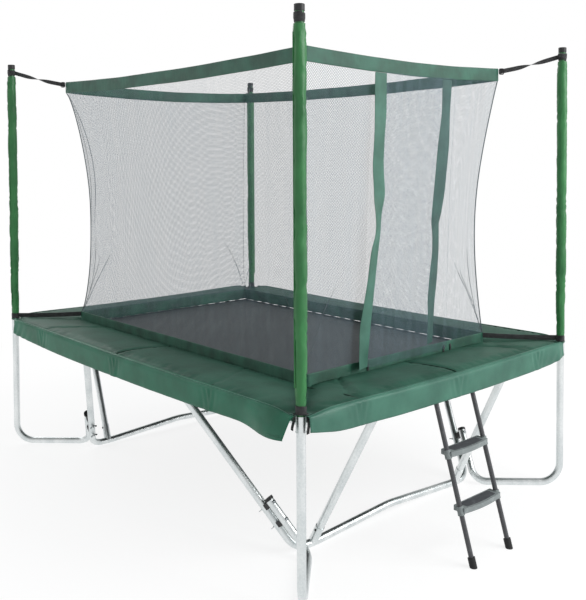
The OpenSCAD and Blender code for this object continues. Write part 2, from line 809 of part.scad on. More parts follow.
hook_r = tube_r + saddle_gap + hook_t;    // outside of the ladder's hooks round the rail
pad_low_out = rail_z + hook_r + pad_gap;
pad_low_in = rail_z + spring_d / 2 + pad_gap;
pad_top_z = pad_low_out + pad_t;

// Underside and top of a pad at e outwards from the rail axis and u along the side.
function pad_drop(e, u) = pad_droop * pow(1 - u * u, 2) * ease((e - hook_r) / (pad_over - hook_r));
function pad_low(e, u) =
    pad_low_in + (pad_low_out - pad_low_in) * min(1, (e + pad_inset) / (pad_inset - notch))
    - pad_drop(e, u);
function pad_puff(e, u) =
    pad_crown * sin(180 * min(1, max(0, (e + pad_inset) / (pad_inset + pad_over))))
    * (1 - pow(u, 6)) * (0.7 + 0.3 * pow(sin(180 * u), 2));
function skirt_z(u) = pad_top_z - skirt_end - skirt_belly * (1 - pow(abs(u), 3));
function skirt_sway(k, u) = skirt_wave * sin(along(k) * u) * (1 - pow(u, 4));

function fold_z(u) = pad_low(pad_over, u) + pad_t * 0.62;

// Points of a skirt's outer face (side 0) or inner face (side 1) at depth fractions.
function skirt_line(k, u, side, fractions) = [
    for (f = fractions)
        [pad_over - side * skirt_t + skirt_sway(k, u) * f, fold_z(u) + (skirt_z(u) - fold_z(u)) * f]
];

// Cross-section of a pad: over the foam, down and up the skirt, then back underneath. A pad
// without its skirt has a rebate that the skirt fits.
function pad_profile(k, u, skirt) =
    let (
        top_e = [-pad_inset, -pad_inset + 14, -pad_inset * 0.7, -pad_inset * 0.42, -notch, 0,
            hook_r + 4, pad_over - 12],
        lift = [0.55, 0.94, 1, 1, 1, 1, 1, 0.95],
        top = [for (i = [0:len(top_e) - 1])
            [top_e[i], pad_low(top_e[i], u) + pad_t * lift[i] + pad_puff(top_e[i], u)]],
        rebate = pad_over - skirt_t - CUT,
        edge = skirt
            ? concat(skirt_line(k, u, 0, [0, 0.5, 1]), skirt_line(k, u, 1, [1, 0.5]),
                [[rebate, pad_low(rebate, u)]])
            : [[pad_over, fold_z(u)], [rebate, fold_z(u)],
                [rebate, (fold_z(u) + pad_low(rebate, u)) / 2], [rebate, pad_low(rebate, u)]],
        under_e = [pad_over - 12, hook_r + 4, 0, -notch, -pad_inset * 0.42, -pad_inset * 0.7,
            -pad_inset + 14, -pad_inset],
        under = [for (e = under_e) [e, pad_low(e, u)]]
    ) concat(top, edge, under);

// The profile set across side k. Its inner part is mitred to the neighbouring pads, and its
// outer part stops short of the pole.
function pad_ring(k, u, profile) = [
    for (p = profile)
        let (q = plan(k, u * (along(k) + min(p[0], -notch)), square_to(k) + p[0])) [q.x, q.y, p[1]]
];

function stations(k) =
    let (steps = k % 2 == 0 ? 16 : 20) [for (i = [0:steps]) 2 * i / steps - 1];

module pad(k, skirt = true) {
    color(PAD_GREEN) loft([for (u = stations(k)) pad_ring(k, u, pad_profile(k, u, skirt))]);
}

module pad_front_skirt() {
    color(PAD_GREEN) loft([
        for (u = stations(0))
            pad_ring(0, u, concat(skirt_line(0, u, 0, [0, 0.5, 1]), skirt_line(0, u, 1, [1, 0.5, 0])))
    ]);
}

// ---------- net ----------

seam_gap = 0.4;
band_top_z = total_z - band_drop;
function band_low(u) = band_top_z - band_h - band_sag * (1 - u * u);
function net_inset(v) = net_inset_low + (net_inset_top - net_inset_low) * v;
function pinch(v) = net_pinch * pow(sin(180 * min(1, max(0, v))), 0.65);
function net_corner(v) = net_inset(v) + pinch(v);

// Point of a wall at run x along side k and height fraction v, off outwards.
function net_point(k, x, v, off, low_z, top_gap) =
    let (
        reach = along(k) - net_corner(v),
        u = max(-1, min(1, x / reach)),
        d = reach * (1 - abs(u)),
        pull = exp(-pow(d / net_pinch_reach, 2)),
        fold = net_fold * sin(2 * d) * exp(-d / net_pinch_reach) * sin(180 * v),
        n = square_to(k) - net_inset(v) - pinch(v) * pull + fold + off,
        q = plan(k, x, n)
    ) [q.x, q.y, low_z + v * (band_low(u) - top_gap - low_z)];

NET_ROWS = 8;

// A hanging panel of side k between the runs x0(v) and x1(v), given as rows of [x0, x1] for
// its inner face and its outer face.
module net_panel(k, steps, spans, offs, low_z = rim_top_z + seam_gap, top_gap = seam_gap) {
    loft([
        for (r = [0:NET_ROWS])
            let (v = r / NET_ROWS, s = spans[r])
                concat(
                    [for (i = [0:steps])
                        let (f = (1 + dense(2 * i / steps - 1)) / 2)
                            net_point(k, s[0][1] + (s[1][1] - s[0][1]) * f, v, offs(f) + net_t, low_z,
                                top_gap)],
                    [for (i = [steps:-1:0])
                        let (f = (1 + dense(2 * i / steps - 1)) / 2)
                            net_point(k, s[0][0] + (s[1][0] - s[0][0]) * f, v, offs(f), low_z, top_gap)]
                )
    ]);
}

// Runs of a panel's end at a corner (side -1 or 1): its inner and its outer face.
function corner_end(k, v, side) =
    let (reach = along(k) - net_corner(v)) [side * reach, side * (reach + net_t)];
function cut_end(x) = [x, x];
function rows(f) = [for (r = [0:NET_ROWS]) f(r / NET_ROWS)];
flat_off = function(f) 0;

module net_wall(k) {
    color(MESH) net_panel(k, k % 2 == 0 ? 14 : 18,
        rows(function(v) [corner_end(k, v, -1), corner_end(k, v, 1)]), flat_off);
}

// The doorway in the front wall is closed by two flaps that overlap. The outer flap is sewn on
// at the right by a strip that stands off from the wall, and its free edge is curved. The
// inner flap is sewn on at the left.
inner_edge_x = outer_sewn_x - door_slot;
function outer_edge(v) = -door_reach - 60 * (1 - v) + door_bow * sin(180 * min(1, v));

module net_wall_front() {
    color(MESH) net_panel(0, 6,
        rows(function(v) [corner_end(0, v, -1), cut_end(-inner_sewn_x)]), flat_off);
}

module net_wall_door_side() {
    color(MESH) net_panel(0, 6, rows(function(v) [cut_end(outer_sewn_x), corner_end(0, v, 1)]),
        flat_off);
}

module door_flap_outer() {
    low_z = pad_top_z + pad_crown + door_clear;
    strip_x = inner_edge_x + 2 * door_clear;
    at_seam = rim_t + seam_gap;
    color(MESH) {
        net_panel(0, 10, rows(function(v) [cut_end(outer_edge(v)), cut_end(strip_x - seam_gap)]),
            function(f) door_gap, low_z, door_clear);
        net_panel(0, 6, rows(function(v) [cut_end(strip_x), cut_end(outer_sewn_x - seam_gap)]),
            function(f) at_seam + (door_gap - at_seam) * ease(1 - f), low_z, door_clear);
    }
}

module door_flap_inner() {
    color(MESH) net_panel(0, 10,
        rows(function(v) [cut_end(seam_gap - inner_sewn_x), cut_end(inner_edge_x)]),
        flat_off, rim_top_z + door_clear, door_clear);
}

module net_top_band() {
    steps = 12;
    n = function(k) square_to(k) - net_inset_top;
    color(GREEN) loft([
        for (k = [0:3], i = [0:steps - 1])
            let (
                u = 2 * i / steps - 1,
                low = band_low(u),
                out = abs(u) == 1 ? band_t : 0,
                run = (along(k) - net_inset_top) * u,
                a = plan(k, run, n(k)),
                b = plan(k, run + sign(u) * out, n(k) + band_t)
            ) [[b.x, b.y, low + band_h], [b.x, b.y, low], [a.x, a.y, low], [a.x, a.y, low + band_h]]
    ], closed = true);
}

module net_bottom_band() {
    inner = 2 * [hx - net_inset_low, hy - net_inset_low];
    color(GREEN) translate([0, 0, rim_top_z - rim_h]) linear_extrude(rim_h) difference() {
        square(inner + 2 * [rim_t, rim_t], center = true);
        square(inner, center = true);
    }
}

// ---------- straps ----------

// A flat strap from a to b, upright at both ends and turned by turn between them. Each of its
// cross-sections stands upright.
module ribbon(a, b, turn) {
    steps = 10;
    up = [0, 0, 1];
    side = unit(cross(b - a, up));
    color(BLACK) loft([
        for (i = [0:steps])
            let (
                t = i / steps,
                angle = turn * ease(t),
                w = (up * cos(angle) + side * sin(angle)) * strap_w / 2,
                h = (side * cos(angle) - up * sin(angle)) * strap_t / 2,
                c = a + (b - a) * t
            ) [c + w + h, c - w + h, c - w - h, c + w - h]
    ]);
}

// Point at distance s inwards from the pole at sides sx, sy, along the diagonal.
function inward(sx, sy, s, z) = [sx * (hx - s / sqrt(2)), sy * (hy - s / sqrt(2)), z];

strap_gap = 0.3;
top_reach = (net_inset_top - band_t) * sqrt(2) - strap_gap;
low_reach = (net_inset_low - rim_t) * sqrt(2) - strap_gap;
function top_strap_a(sx, sy) = inward(sx, sy, wrap_r + strap_gap, wrap_top_z);
function top_strap_b(sx, sy) =
    inward(sx, sy, top_reach - buckle_len - strap_gap, wrap_top_z - strap_drop);

module net_straps() {
    for (sx = SIDES, sy = SIDES) {
        ribbon(top_strap_a(sx, sy), top_strap_b(sx, sy), 180);
        ribbon(inward(sx, sy, wrap_r + strap_gap, wrap_low_z),
            inward(sx, sy, low_reach, wrap_low_z), 0);
    }
}

module strap_buckles() {
    color(BLACK) for (sx = SIDES, sy = SIDES)
        aim(inward(sx, sy, top_reach - buckle_len, wrap_top_z - strap_drop),
            inward(sx, sy, top_reach, wrap_top_z - strap_drop))
            difference() {
                translate([-buckle_w / 2, -buckle_t / 2, 0]) cube([buckle_w, buckle_t, buckle_len]);
                for (z = [0.28, 0.72])
                    translate([-buckle_w / 2 + 4, -buckle_t, buckle_len * z - 3])
                        cube([buckle_w - 8, 2 * buckle_t, 6]);
            }
}

// ---------- ladder ----------

ladder_top = [ladder_x, -hy, rail_z];
ladder_slope = unit([0, -ladder_out, -rail_z]);
tube_start = 52;                          // from the rail axis to the side rails' upper ends
function ladder_at(s) = ladder_top + ladder_slope * s;
function ladder_down(z) = (rail_z - z) / -ladder_slope.z;
ladder_length = ladder_down(0);
sole = 8;                                 // rubber under a side rail's end

module ladder_rail(side) {
    x = [side * ladder_w / 2, 0, 0];
    color(DARK) pipe(ladder_at(tube_start) + x, ladder_at(ladder_length - ladder_foot_d / 2 - sole) + x,
        ladder_d, ladder_wall);
}

module ladder_tread(z) {
    c = ladder_at(ladder_down(z));
    w = ladder_w / 2;
    collar_r = ladder_d / 2 + 5;
    bow_r = (w * w + tread_bow * tread_bow) / (2 * tread_bow);
    deck = 6;
    color(DARK) difference() {
        union() {
            translate([c.x, c.y, z]) {
                translate([0, 0, -deck]) linear_extrude(deck) tread_outline(w, bow_r, 0);
                translate([0, 0, -tread_h]) linear_extrude(tread_h) difference() {
                    tread_outline(w, bow_r, 0);
                    tread_outline(w, bow_r, 4);
                }
                for (x = [-w / 3, w / 3])
                    translate([x - 1.5, -tread_depth / 2 + 2, -tread_h + 6])
                        cube([3, tread_depth - 4, tread_h - 8]);
            }
            for (s = SIDES) {
                x = [s * w, 0, 0];
                rod(ladder_at(ladder_down(z + 3)) + x, ladder_at(ladder_down(z - tread_h - 12)) + x,
                    2 * collar_r);
            }
        }
        for (s = SIDES) {
            x = [s * w, 0, 0];
            rod(ladder_at(ladder_down(z + tread_h)) + x, ladder_at(ladder_down(z - 3 * tread_h)) + x,
                ladder_d + 2 * fit_gap);
        }
    }
}

module ladder_treads() {
    ladder_tread(tread_low_z);
    ladder_tread(tread_high_z);
}

// Plan of a tread: straight at the back, bowed at the front, drawn in by wall.
module tread_outline(w, bow_r, wall) {
    intersection() {
        translate([-w + wall, -tread_depth]) square([2 * (w - wall), 1.5 * tread_depth - wall]);
        translate([0, bow_r - tread_depth / 2 - tread_bow / 2]) circle(bow_r - wall, $fn = 180);
    }
}

module ladder_feet() {
    color(BLACK) for (s = SIDES) {
        x = [s * ladder_w / 2, 0, 0];
        low = ladder_length - ladder_foot_d / 2 - sole;
        difference() {
            rod(ladder_at(ladder_down(ladder_foot_h)) + x, ladder_at(ladder_length + ladder_foot_d) + x,
                ladder_foot_d);
            rod(ladder_at(ladder_down(ladder_foot_h + tread_h)) + x, ladder_at(low + fit_gap) + x,
                ladder_d + 2 * fit_gap);
            translate([ladder_x + x.x - ladder_foot_d, -hy - 2 * ladder_out, -ladder_foot_d * 2])
                cube([2 * ladder_foot_d, 2 * ladder_out, ladder_foot_d * 2]);
        }
    }
}

// Hooks: a strip bent over the rail, with a plug in the end of each side rail.
module ladder_hooks() {
    inner = tube_r + saddle_gap;
    leg = 44;
    arc_steps = 16;
    plug_d = ladder_d - 2 * ladder_wall - 2 * fit_gap;
    color(DARK) for (s = SIDES) {
        x = [s * ladder_w / 2, 0, 0];
        translate(ladder_top + x + [-hook_w / 2, 0, 0]) rotate([90, 0, 90]) linear_extrude(hook_w)
            polygon(concat(
                [for (i = [0:arc_steps]) hook_r * [cos(180 * i / arc_steps), sin(180 * i / arc_steps)]],
                [[-hook_r, -leg], [-hook_r / 3, -leg], [-hook_r / 3, 8 - leg], [-inner, -tube_r]],
                [for (i = [arc_steps:-1:0]) inner * [cos(180 * i / arc_steps), sin(180 * i / arc_steps)]]));
        rod(ladder_at(leg - 6) + x, ladder_at(tube_start + 30) + x, plug_d);
    }
}

// ---------- nodes ----------

corner(-1, -1);  // corner_front_left
corner(1, -1);  // corner_front_right
corner(-1, 1);  // corner_back_left
corner(1, 1);  // corner_back_right
long_rail(-1, -1);  // long_rail_left_front
long_rail(-1, 1);  // long_rail_left_back
long_rail(1, -1);  // long_rail_right_front
long_rail(1, 1);  // long_rail_right_back
short_rail(-1);  // short_rail_front
short_rail(1);  // short_rail_back
upright(-1, -1);  // upright_front_left
upright(1, -1);  // upright_front_right
upright(-1, 1);  // upright_back_left
upright(1, 1);  // upright_back_right
foot(-1, -1);  // foot_front_left
foot(1, -1);  // foot_front_right
foot(-1, 1);  // foot_back_left
foot(1, 1);  // foot_back_right
u_frame(-1);  // u_frame_front
u_frame(1);  // u_frame_back
brace(-1, -1);  // brace_front_left
brace(1, -1);  // brace_front_right
brace(-1, 1);  // brace_back_left
brace(1, 1);  // brace_back_right
toe_caps();
clamp_saddles();
clamp_bolts();
wing_nuts();
joint_screws();
net_pole(-1, -1);  // net_pole_front_left
net_pole(1, -1);  // net_pole_front_right
net_pole(-1, 1);  // net_pole_back_left
net_pole(1, 1);  // net_pole_back_right
pole_sleeves();
pole_caps();
pole_wraps();
jump_mat();
mat_rings();
springs();
pad(0, skirt = false);  // pad_front
pad_front_skirt();
pad(1);  // pad_right
pad(2);  // pad_back
pad(3);  // pad_left
net_wall(1);  // net_wall_right
net_wall(2);  // net_wall_back
net_wall(3);  // net_wall_left
net_wall_front();
net_wall_door_side();
door_flap_outer();
door_flap_inner();
net_top_band();
net_bottom_band();
net_straps();
strap_buckles();
ladder_rail(-1);  // ladder_rail_left
ladder_rail(1);  // ladder_rail_right
ladder_treads();
ladder_feet();
ladder_hooks();
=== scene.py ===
import math

import bpy
import numpy as np
from mathutils import Matrix, Vector, noise


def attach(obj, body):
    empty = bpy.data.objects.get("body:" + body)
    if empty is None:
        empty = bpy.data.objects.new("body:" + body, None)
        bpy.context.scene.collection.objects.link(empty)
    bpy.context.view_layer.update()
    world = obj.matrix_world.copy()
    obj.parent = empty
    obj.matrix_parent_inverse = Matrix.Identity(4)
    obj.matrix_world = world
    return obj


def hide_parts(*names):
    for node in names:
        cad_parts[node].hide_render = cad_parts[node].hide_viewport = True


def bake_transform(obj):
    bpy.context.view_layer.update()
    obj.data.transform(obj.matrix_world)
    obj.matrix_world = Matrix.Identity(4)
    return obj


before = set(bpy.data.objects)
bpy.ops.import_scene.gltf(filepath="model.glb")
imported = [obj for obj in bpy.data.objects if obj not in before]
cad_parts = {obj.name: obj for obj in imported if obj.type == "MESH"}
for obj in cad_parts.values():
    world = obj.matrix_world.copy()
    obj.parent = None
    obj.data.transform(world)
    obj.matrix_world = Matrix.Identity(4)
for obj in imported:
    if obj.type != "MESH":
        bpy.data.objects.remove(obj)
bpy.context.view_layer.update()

# ---------- Camera, floor and light ----------
# A plain pale studio: a white sweep that keeps the trampoline's soft shadow, one broad lamp in
# front of the door side, weaker ones at the left and behind, even light from all round, and
# two dark boards that only shiny tubes mirror, so that their edges stay clear.


def put(name, data):
    """A new object in the scene."""
    made = bpy.data.objects.new(name, data)
    bpy.context.scene.collection.objects.link(made)
    return made


stand, yaw, pitch, roll = (-3.412, -4.167, 1.985), 0.7433, 0.0357, -0.0036
ahead = Vector((math.sin(yaw) * math.cos(pitch), math.cos(yaw) * math.cos(pitch), -math.sin(pitch)))
level = Vector((math.cos(yaw), -math.sin(yaw), 0))
above = level.cross(ahead)
right = level * math.cos(roll) + above * math.sin(roll)
camera = put("camera", bpy.data.cameras.new("camera"))
turn = np.column_stack([right, right.cross(ahead), -ahead])
camera.matrix_world = Matrix([[*axes, at] for axes, at in zip(turn, stand)] + [[0, 0, 0, 1]])
camera.data.sensor_width = 36
camera.data.lens = 49.74
camera.data.shift_x = -0.036
camera.data.shift_y = -0.1843
camera.data.clip_end = 200
bpy.context.scene.camera = camera
bpy.context.scene.view_settings.view_transform = "Standard"


def tone(code):
    """The linear colour of a screen colour such as 3E7C4A."""
    parts = [int(code[i:i + 2], 16) / 255 for i in (0, 2, 4)]
    return (*(c / 12.92 if c <= 0.04045 else ((c + 0.055) / 1.055) ** 2.4 for c in parts), 1)


class Signal:
    """One output in a node tree. Arithmetic on signals adds Math nodes."""

    def __init__(self, socket):
        self.socket = socket
        self.tree = socket.id_data

    def node(self, kind, settings, sockets, output=0):
        """Adds a node: its settings first, then the values or links of its sockets."""
        made = self.tree.nodes.new("ShaderNode" + kind)
        for key, value in settings.items():
            setattr(made, key, value)
        for key, value in sockets.items():
            if isinstance(value, Signal):
                self.tree.links.new(value.socket, made.inputs[key])
            else:
                made.inputs[key].default_value = value
        return Signal(made.outputs[output])

    def math(self, operation, *terms):
        return self.node("Math", {"operation": operation}, dict(enumerate(terms)))

    def __add__(self, other):
        return self.math("ADD", self, other)

    def __sub__(self, other):
        return self.math("SUBTRACT", self, other)

    def __rsub__(self, other):
        return self.math("SUBTRACT", other, self)

    def __mul__(self, other):
        return self.math("MULTIPLY", self, other)

    def __pow__(self, other):
        return self.math("POWER", self, other)

    __radd__ = __add__
    __rmul__ = __mul__

    def sine(self, period):
        """A wave between 0 and 1 with this period."""
        return self.math("SINE", self * (2 * math.pi / period)) * 0.5 + 0.5

    def step(self, low, high):
        """0 below low, 1 above high, smooth between them."""
        return self.node("MapRange", {"interpolation_type": "SMOOTHSTEP"},
                         {"Value": self, "From Min": low, "From Max": high})

    def mix(self, *colours):
        """This share of the second colour over the first. Each is a signal or a screen colour."""
        first, second = (c if isinstance(c, Signal) else tone(c) for c in colours)
        return self.node("Mix", {"data_type": "RGBA"}, {0: self, 6: first, 7: second}, 2)

    def clouds(self, size, detail, stretch=(1, 1, 1)):
        """Noise about this size, between 0 and 1, on these coordinates."""
        scaled = self.node("Mapping", {}, {"Vector": self, "Scale": stretch})
        return self.node("TexNoise", {}, {"Vector": scaled, "Scale": 1 / size, "Detail": detail})

    def part(self, axis):
        """One coordinate of a vector."""
        return self.node("SeparateXYZ", {}, {0: self}, axis)

    def cut_map(self):
        """Lengths along and across a piece's rows, in metres."""
        return self.node("UVMap", {"uv_map": "cut"}, {})

    def feed(self, node, socket):
        self.tree.links.new(self.socket, node.inputs[socket])


def empty_tree(owner):
    owner.use_nodes = True
    tree = owner.node_tree
    tree.nodes.clear()
    return tree


sweep_half, shadow_fades = 40, (2.4, 4.6)
floor_mesh = bpy.data.meshes.new("floor")
floor_corners = [(x * sweep_half, y * sweep_half, 0) for x, y in ((-1, -1), (1, -1), (1, 1), (-1, 1))]
floor_mesh.from_pydata(floor_corners, [], [(0, 1, 2, 3)])
floor = put("floor", floor_mesh)
sweep = bpy.data.materials.new("white_sweep")
floor_mesh.materials.append(sweep)
tree = empty_tree(sweep)
rays = tree.nodes.new("ShaderNodeLightPath")
seen = Signal(rays.outputs["Is Camera Ray"]) + Signal(rays.outputs["Is Glossy Ray"]) \
    + Signal(rays.outputs["Is Transmission Ray"])
seen = seen.math("MINIMUM", seen, 1.0)
spot = seen.node("TexCoord", {}, {}, 3)
reach = seen.node("VectorMath", {"operation": "LENGTH"}, {0: spot}, 1).step(*shadow_fades)
pale = seen.node("BsdfDiffuse", {}, {"Color": (0.62, 0.62, 0.62, 1)})
lifted = seen.node("BsdfDiffuse", {}, {"Color": (0.24, 0.24, 0.24, 1)})
glow = seen.node("Emission", {}, {"Color": (1, 1, 1, 1), "Strength": 0.83})
white = seen.node("Emission", {}, {"Color": (1, 1, 1, 1), "Strength": 1.0})
near = seen.node("AddShader", {}, {0: lifted, 1: glow})
shown = seen.node("MixShader", {}, {0: reach, 1: near, 2: white})
finish = tree.nodes.new("ShaderNodeOutputMaterial")
seen.node("MixShader", {}, {0: seen, 1: pale, 2: shown}).feed(finish, "Surface")

world = bpy.data.worlds.new("studio")
bpy.context.scene.world = world
tree = empty_tree(world)
rays = tree.nodes.new("ShaderNodeLightPath")
direct = Signal(rays.outputs["Is Camera Ray"])
bounced = Signal(rays.outputs["Is Glossy Ray"]) + Signal(rays.outputs["Is Transmission Ray"])
way = direct.node("TexCoord", {}, {}, 0)
height = way.part(2)
boards = [way.node("VectorMath", {"operation": "DOT_PRODUCT"}, {0: way, 1: facing}, 1)
          for facing in ((-0.14, 0.99, 0), (1.0, -0.03, 0))]
dim = direct.math("MAXIMUM", *boards).step(0.955, 0.985) * (1 - height.step(0.3, 0.6))
ceiling = (1 - height.step(0.15, 0.8) * 0.45) * (1 - dim * 0.42)
lit = direct.node("Background", {}, {"Color": (0.97, 0.985, 1, 1), "Strength": 0.5})
mirrored = direct.node("Background", {}, {"Strength": ceiling})
plain = direct.node("Background", {}, {"Color": (1, 1, 1, 1), "Strength": 1.0})
finish = tree.nodes.new("ShaderNodeOutputWorld")
inner = direct.node("MixShader", {}, {0: bounced, 1: lit, 2: mirrored})
direct.node("MixShader", {}, {0: direct, 1: inner, 2: plain}).feed(finish, "Surface")

for label, place, size, power in (("door_side", (3.2, -7.2, 4.6), 5.0, 440),
                                  ("left_side", (-6.8, -4.6, 3.4), 4.0, 10),
                                  ("left_back", (-4.6, 3.4, 3.0), 2.0, 18),
                                  ("back_side", (0.3, 8.2, 5.2), 4.0, 110)):
    lamp = put(label, bpy.data.lights.new(label, "AREA"))
    lamp.data.size = size
    lamp.data.energy = power
    lamp.location = place
    lamp.rotation_euler = (Vector((0, 0, 1.1)) - lamp.location).to_track_quat("-Z", "Y").to_euler()

# ---------- Galvanised steel frame ----------
# Corner sockets, rails, uprights, bent feet, U-frames and braces: round tube, hot-dip
# galvanised, so the zinc shows faint spangles and a few dull streaks. Plugged and screwed.


def start_finish(name, **plain):
    """A new material; returns it, its shader and the piece's own coordinates in metres."""
    material = bpy.data.materials.new(name)
    material.use_nodes = True
    shader = material.node_tree.nodes["Principled BSDF"]
    for socket, value in plain.items():
        shader.inputs[socket.replace("_", " ")].default_value = value
    return material, shader, Signal(shader.outputs[0]).node("TexCoord", {}, {}, 3)


def relief(height, depth):
    """A bump from a height between 0 and 1, this many metres deep."""
    return height.node("Bump", {}, {"Height": height, "Distance": depth, "Strength": 1.0})


def paint(shader, colour, rough, height, depth):
    """Feeds a shader its colour, its roughness and a relief this many metres deep."""
    colour.feed(shader, "Base Color")
    rough.feed(shader, "Roughness")
    relief(height, depth).feed(shader, "Normal")


def zinc(name, dark, light, rough):
    material, shader, place = start_finish(name, Metallic=1.0)
    spangle = place.node("TexVoronoi", {"feature": "F1"}, {"Vector": place, "Scale": 130.0}, 1)
    grain = place.node("SeparateColor", {}, {0: spangle})
    streaks = place.clouds(0.09, 3.0, (1, 1, 0.35))
    shade = grain * 0.3 + streaks.step(0.3, 0.75) * 0.7
    paint(shader, shade.mix(dark, light), rough + grain * 0.05 + streaks * 0.08, grain, 0.00003)
    return material


def dress(material, *names):
    """Gives CAD parts their finish."""
    for name in names:
        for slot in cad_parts[name].material_slots:
            slot.material = material


CORNERS = [(sx, sy) for sx in (-1, 1) for sy in (-1, 1)]
SIDES = ("front", "right", "back", "left")
ENDS = ("front_left", "front_right", "back_left", "back_right")
galvanised = zinc("galvanised_tube", "CBD2D3", "EEF1F1", 0.27)
for part in ("corner", "upright", "foot", "brace"):
    dress(galvanised, *(f"{part}_{end}" for end in ENDS))
dress(galvanised, "long_rail_left_front", "long_rail_left_back", "long_rail_right_front",
      "long_rail_right_back", "short_rail_front", "short_rail_back", "u_frame_front", "u_frame_back")
dress(zinc("plated_nut", "A9AEB0", "DCDFDF", 0.2), "wing_nuts")

# ---------- Black clamp blocks, end caps, bolts and screws ----------
# Moulded nylon saddles between toe and arm, held by dull carriage bolts. Dome-headed screws in
# blackened steel close the sockets.


def moulded(name, colour, worn, rough, size):
    """Moulded plastic or paint: a fine orange-peel grain, and paler where hands rub it."""
    material, shader, place = start_finish(name)
    grain = place.clouds(size, 2.0)
    wear = place.clouds(0.035, 4.0).step(0.52, 0.78)
    paint(shader, wear.mix(colour, worn), rough + grain * 0.16 - wear * 0.05, grain, 0.00012)
    return material


dress(moulded("black_nylon", "1E1F21", "2E3032", 0.42, 0.0012), "clamp_saddles", "toe_caps", "pole_caps")
dress(moulded("black_steel", "2A2B2D", "45474A", 0.3, 0.0009), "joint_screws")
dress(zinc("dull_bolt", "6E7375", "9BA1A3", 0.3), "clamp_bolts")

# ---------- Net poles ----------
# Steel tube under green powder coat, standing in the frame's corner fittings. It shows only
# below the padded sleeves and at their tops.

dress(moulded("green_powder_coat", "2C6A3C", "3A7B4A", 0.3, 0.0011), *(f"net_pole_{end}" for end in ENDS))

# ---------- Padded pole sleeves ----------
# Foam tubes in a sewn green cover, closed by a lengthwise seam and quilted by three seams
# round the pole. The cover is tied in at the bottom, so it puckers there and at each seam.


def skin(name, rows, around=False, ring=False):
    """A mesh over rows of points. around joins each row's ends, ring joins the last row to
    the first. Its map "cut" holds the lengths along and across the rows, in metres."""
    rows = np.asarray(rows, float)
    m, n = rows.shape[:2]
    i, j = np.meshgrid(np.arange(m if ring else m - 1), np.arange(n if around else n - 1),
                       indexing="ij")
    i, j = i.ravel(), j.ravel()
    quads = np.stack([i * n + j, i * n + (j + 1) % n, (i + 1) % m * n + (j + 1) % n,
                      (i + 1) % m * n + j], 1)
    mesh = bpy.data.meshes.new(name)
    mesh.from_pydata(rows.reshape(-1, 3).tolist(), [], quads.tolist())
    across = np.linalg.norm(np.diff(rows[m // 2], axis=0, append=rows[m // 2][:1]), axis=1)
    down = np.linalg.norm(np.diff(rows[:, n // 2], axis=0, append=rows[:1, n // 2]), axis=1)
    u, v = np.append(0, np.cumsum(across)), np.append(0, np.cumsum(down))
    cut = np.stack([np.stack([u[j], v[i]], 1), np.stack([u[j + 1], v[i]], 1),
                    np.stack([u[j + 1], v[i + 1]], 1), np.stack([u[j], v[i + 1]], 1)], 1)
    mesh.uv_layers.new(name="cut").data.foreach_set("uv", cut.ravel().astype(np.float32))
    mesh.polygons.foreach_set("use_smooth", [True] * len(mesh.polygons))
    return put(name, mesh)


def points_of(mesh):
    spots = np.zeros(len(mesh.vertices) * 3)
    mesh.vertices.foreach_get("co", spots)
    return spots.reshape(-1, 3)


def swell(piece, sewn, pressure, most, slack):
    """Blows up a sewn cover with the cloth solver. The sewn points stay, the others move by
    at most this far, and slack is the share by which the cloth is cut too large."""
    stiff, frames = 12.0, 16
    start = points_of(piece.data)
    piece.vertex_groups.new(name="sewn").add([int(s) for s in sewn], 1.0, "REPLACE")
    solver = piece.modifiers.new("swell", "CLOTH")
    cloth = solver.settings
    cloth.quality = 5
    cloth.mass = 0.15
    cloth.tension_stiffness = cloth.compression_stiffness = cloth.shear_stiffness = stiff
    cloth.bending_stiffness = 0.05
    cloth.vertex_group_mass = "sewn"
    cloth.shrink_min = -slack
    cloth.use_pressure = True
    cloth.uniform_pressure_force = pressure
    cloth.effector_weights.gravity = 0
    solver.point_cache.frame_start, solver.point_cache.frame_end = 1, frames
    for step in range(1, frames + 1):
        bpy.context.scene.frame_set(step)
    shape = piece.evaluated_get(bpy.context.evaluated_depsgraph_get()).data
    move = points_of(shape) - start
    piece.modifiers.remove(solver)
    bpy.context.scene.frame_set(1)
    far = np.linalg.norm(move, axis=1, keepdims=True)
    piece.data.vertices.foreach_set("co", (start + move * np.minimum(1, most / (far + 1e-9))).ravel())
    piece.data.update()


def cover(piece, material, slot):
    """Finishes a new piece with its material. slot is not used."""
    piece.data.materials.append(material)


def dress_all(material, slot, body, *pieces):
    """Finishes new pieces and sets them on a body."""
    for piece in pieces:
        cover(piece, material, slot)
        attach(piece, body)


def thicken(piece, thick, offset=0):
    """Gives a sheet of cloth its thickness: on both sides, or inwards at offset -1."""
    cloth = piece.modifiers.new("cloth", "SOLIDIFY")
    cloth.thickness, cloth.offset = thick, offset


def coated_fabric(name, lit, deep, sheen, crease, gloss):
    """Coated polyester: a fine plain weave under a soft shine, handling creases, and a tone that is lighter
    and darker at random.
    """
    material, shader, place = start_finish(name, Coat_Roughness=0.3, Specular_IOR_Level=gloss)
    broad = place.clouds(0.16, 3.0)
    fine = place.clouds(0.022, 4.0, (1, 1, 0.6))
    folds = place.node("TexNoise", {"noise_type": "RIDGED_MULTIFRACTAL"},
                       {"Vector": place, "Scale": 1 / crease, "Detail": 3.0})
    threads = place.part(0).sine(0.0011) * 0.5 + place.part(1).sine(0.0011) * 0.5
    threads = threads * 0.5 + place.part(2).sine(0.0011) * 0.5
    shade = broad.step(0.25, 0.75) * 0.75 + fine * 0.25
    height = folds.step(0.2, 1.1) * 0.7 + fine * 0.2 + threads * 0.03
    paint(shader, shade.mix(deep, lit), 0.42 + fine * 0.18 - folds.step(0.4, 1.0) * 0.04, height, 0.0030)
    (sheen + fine * 0.1).feed(shader, "Coat Weight")
    return material


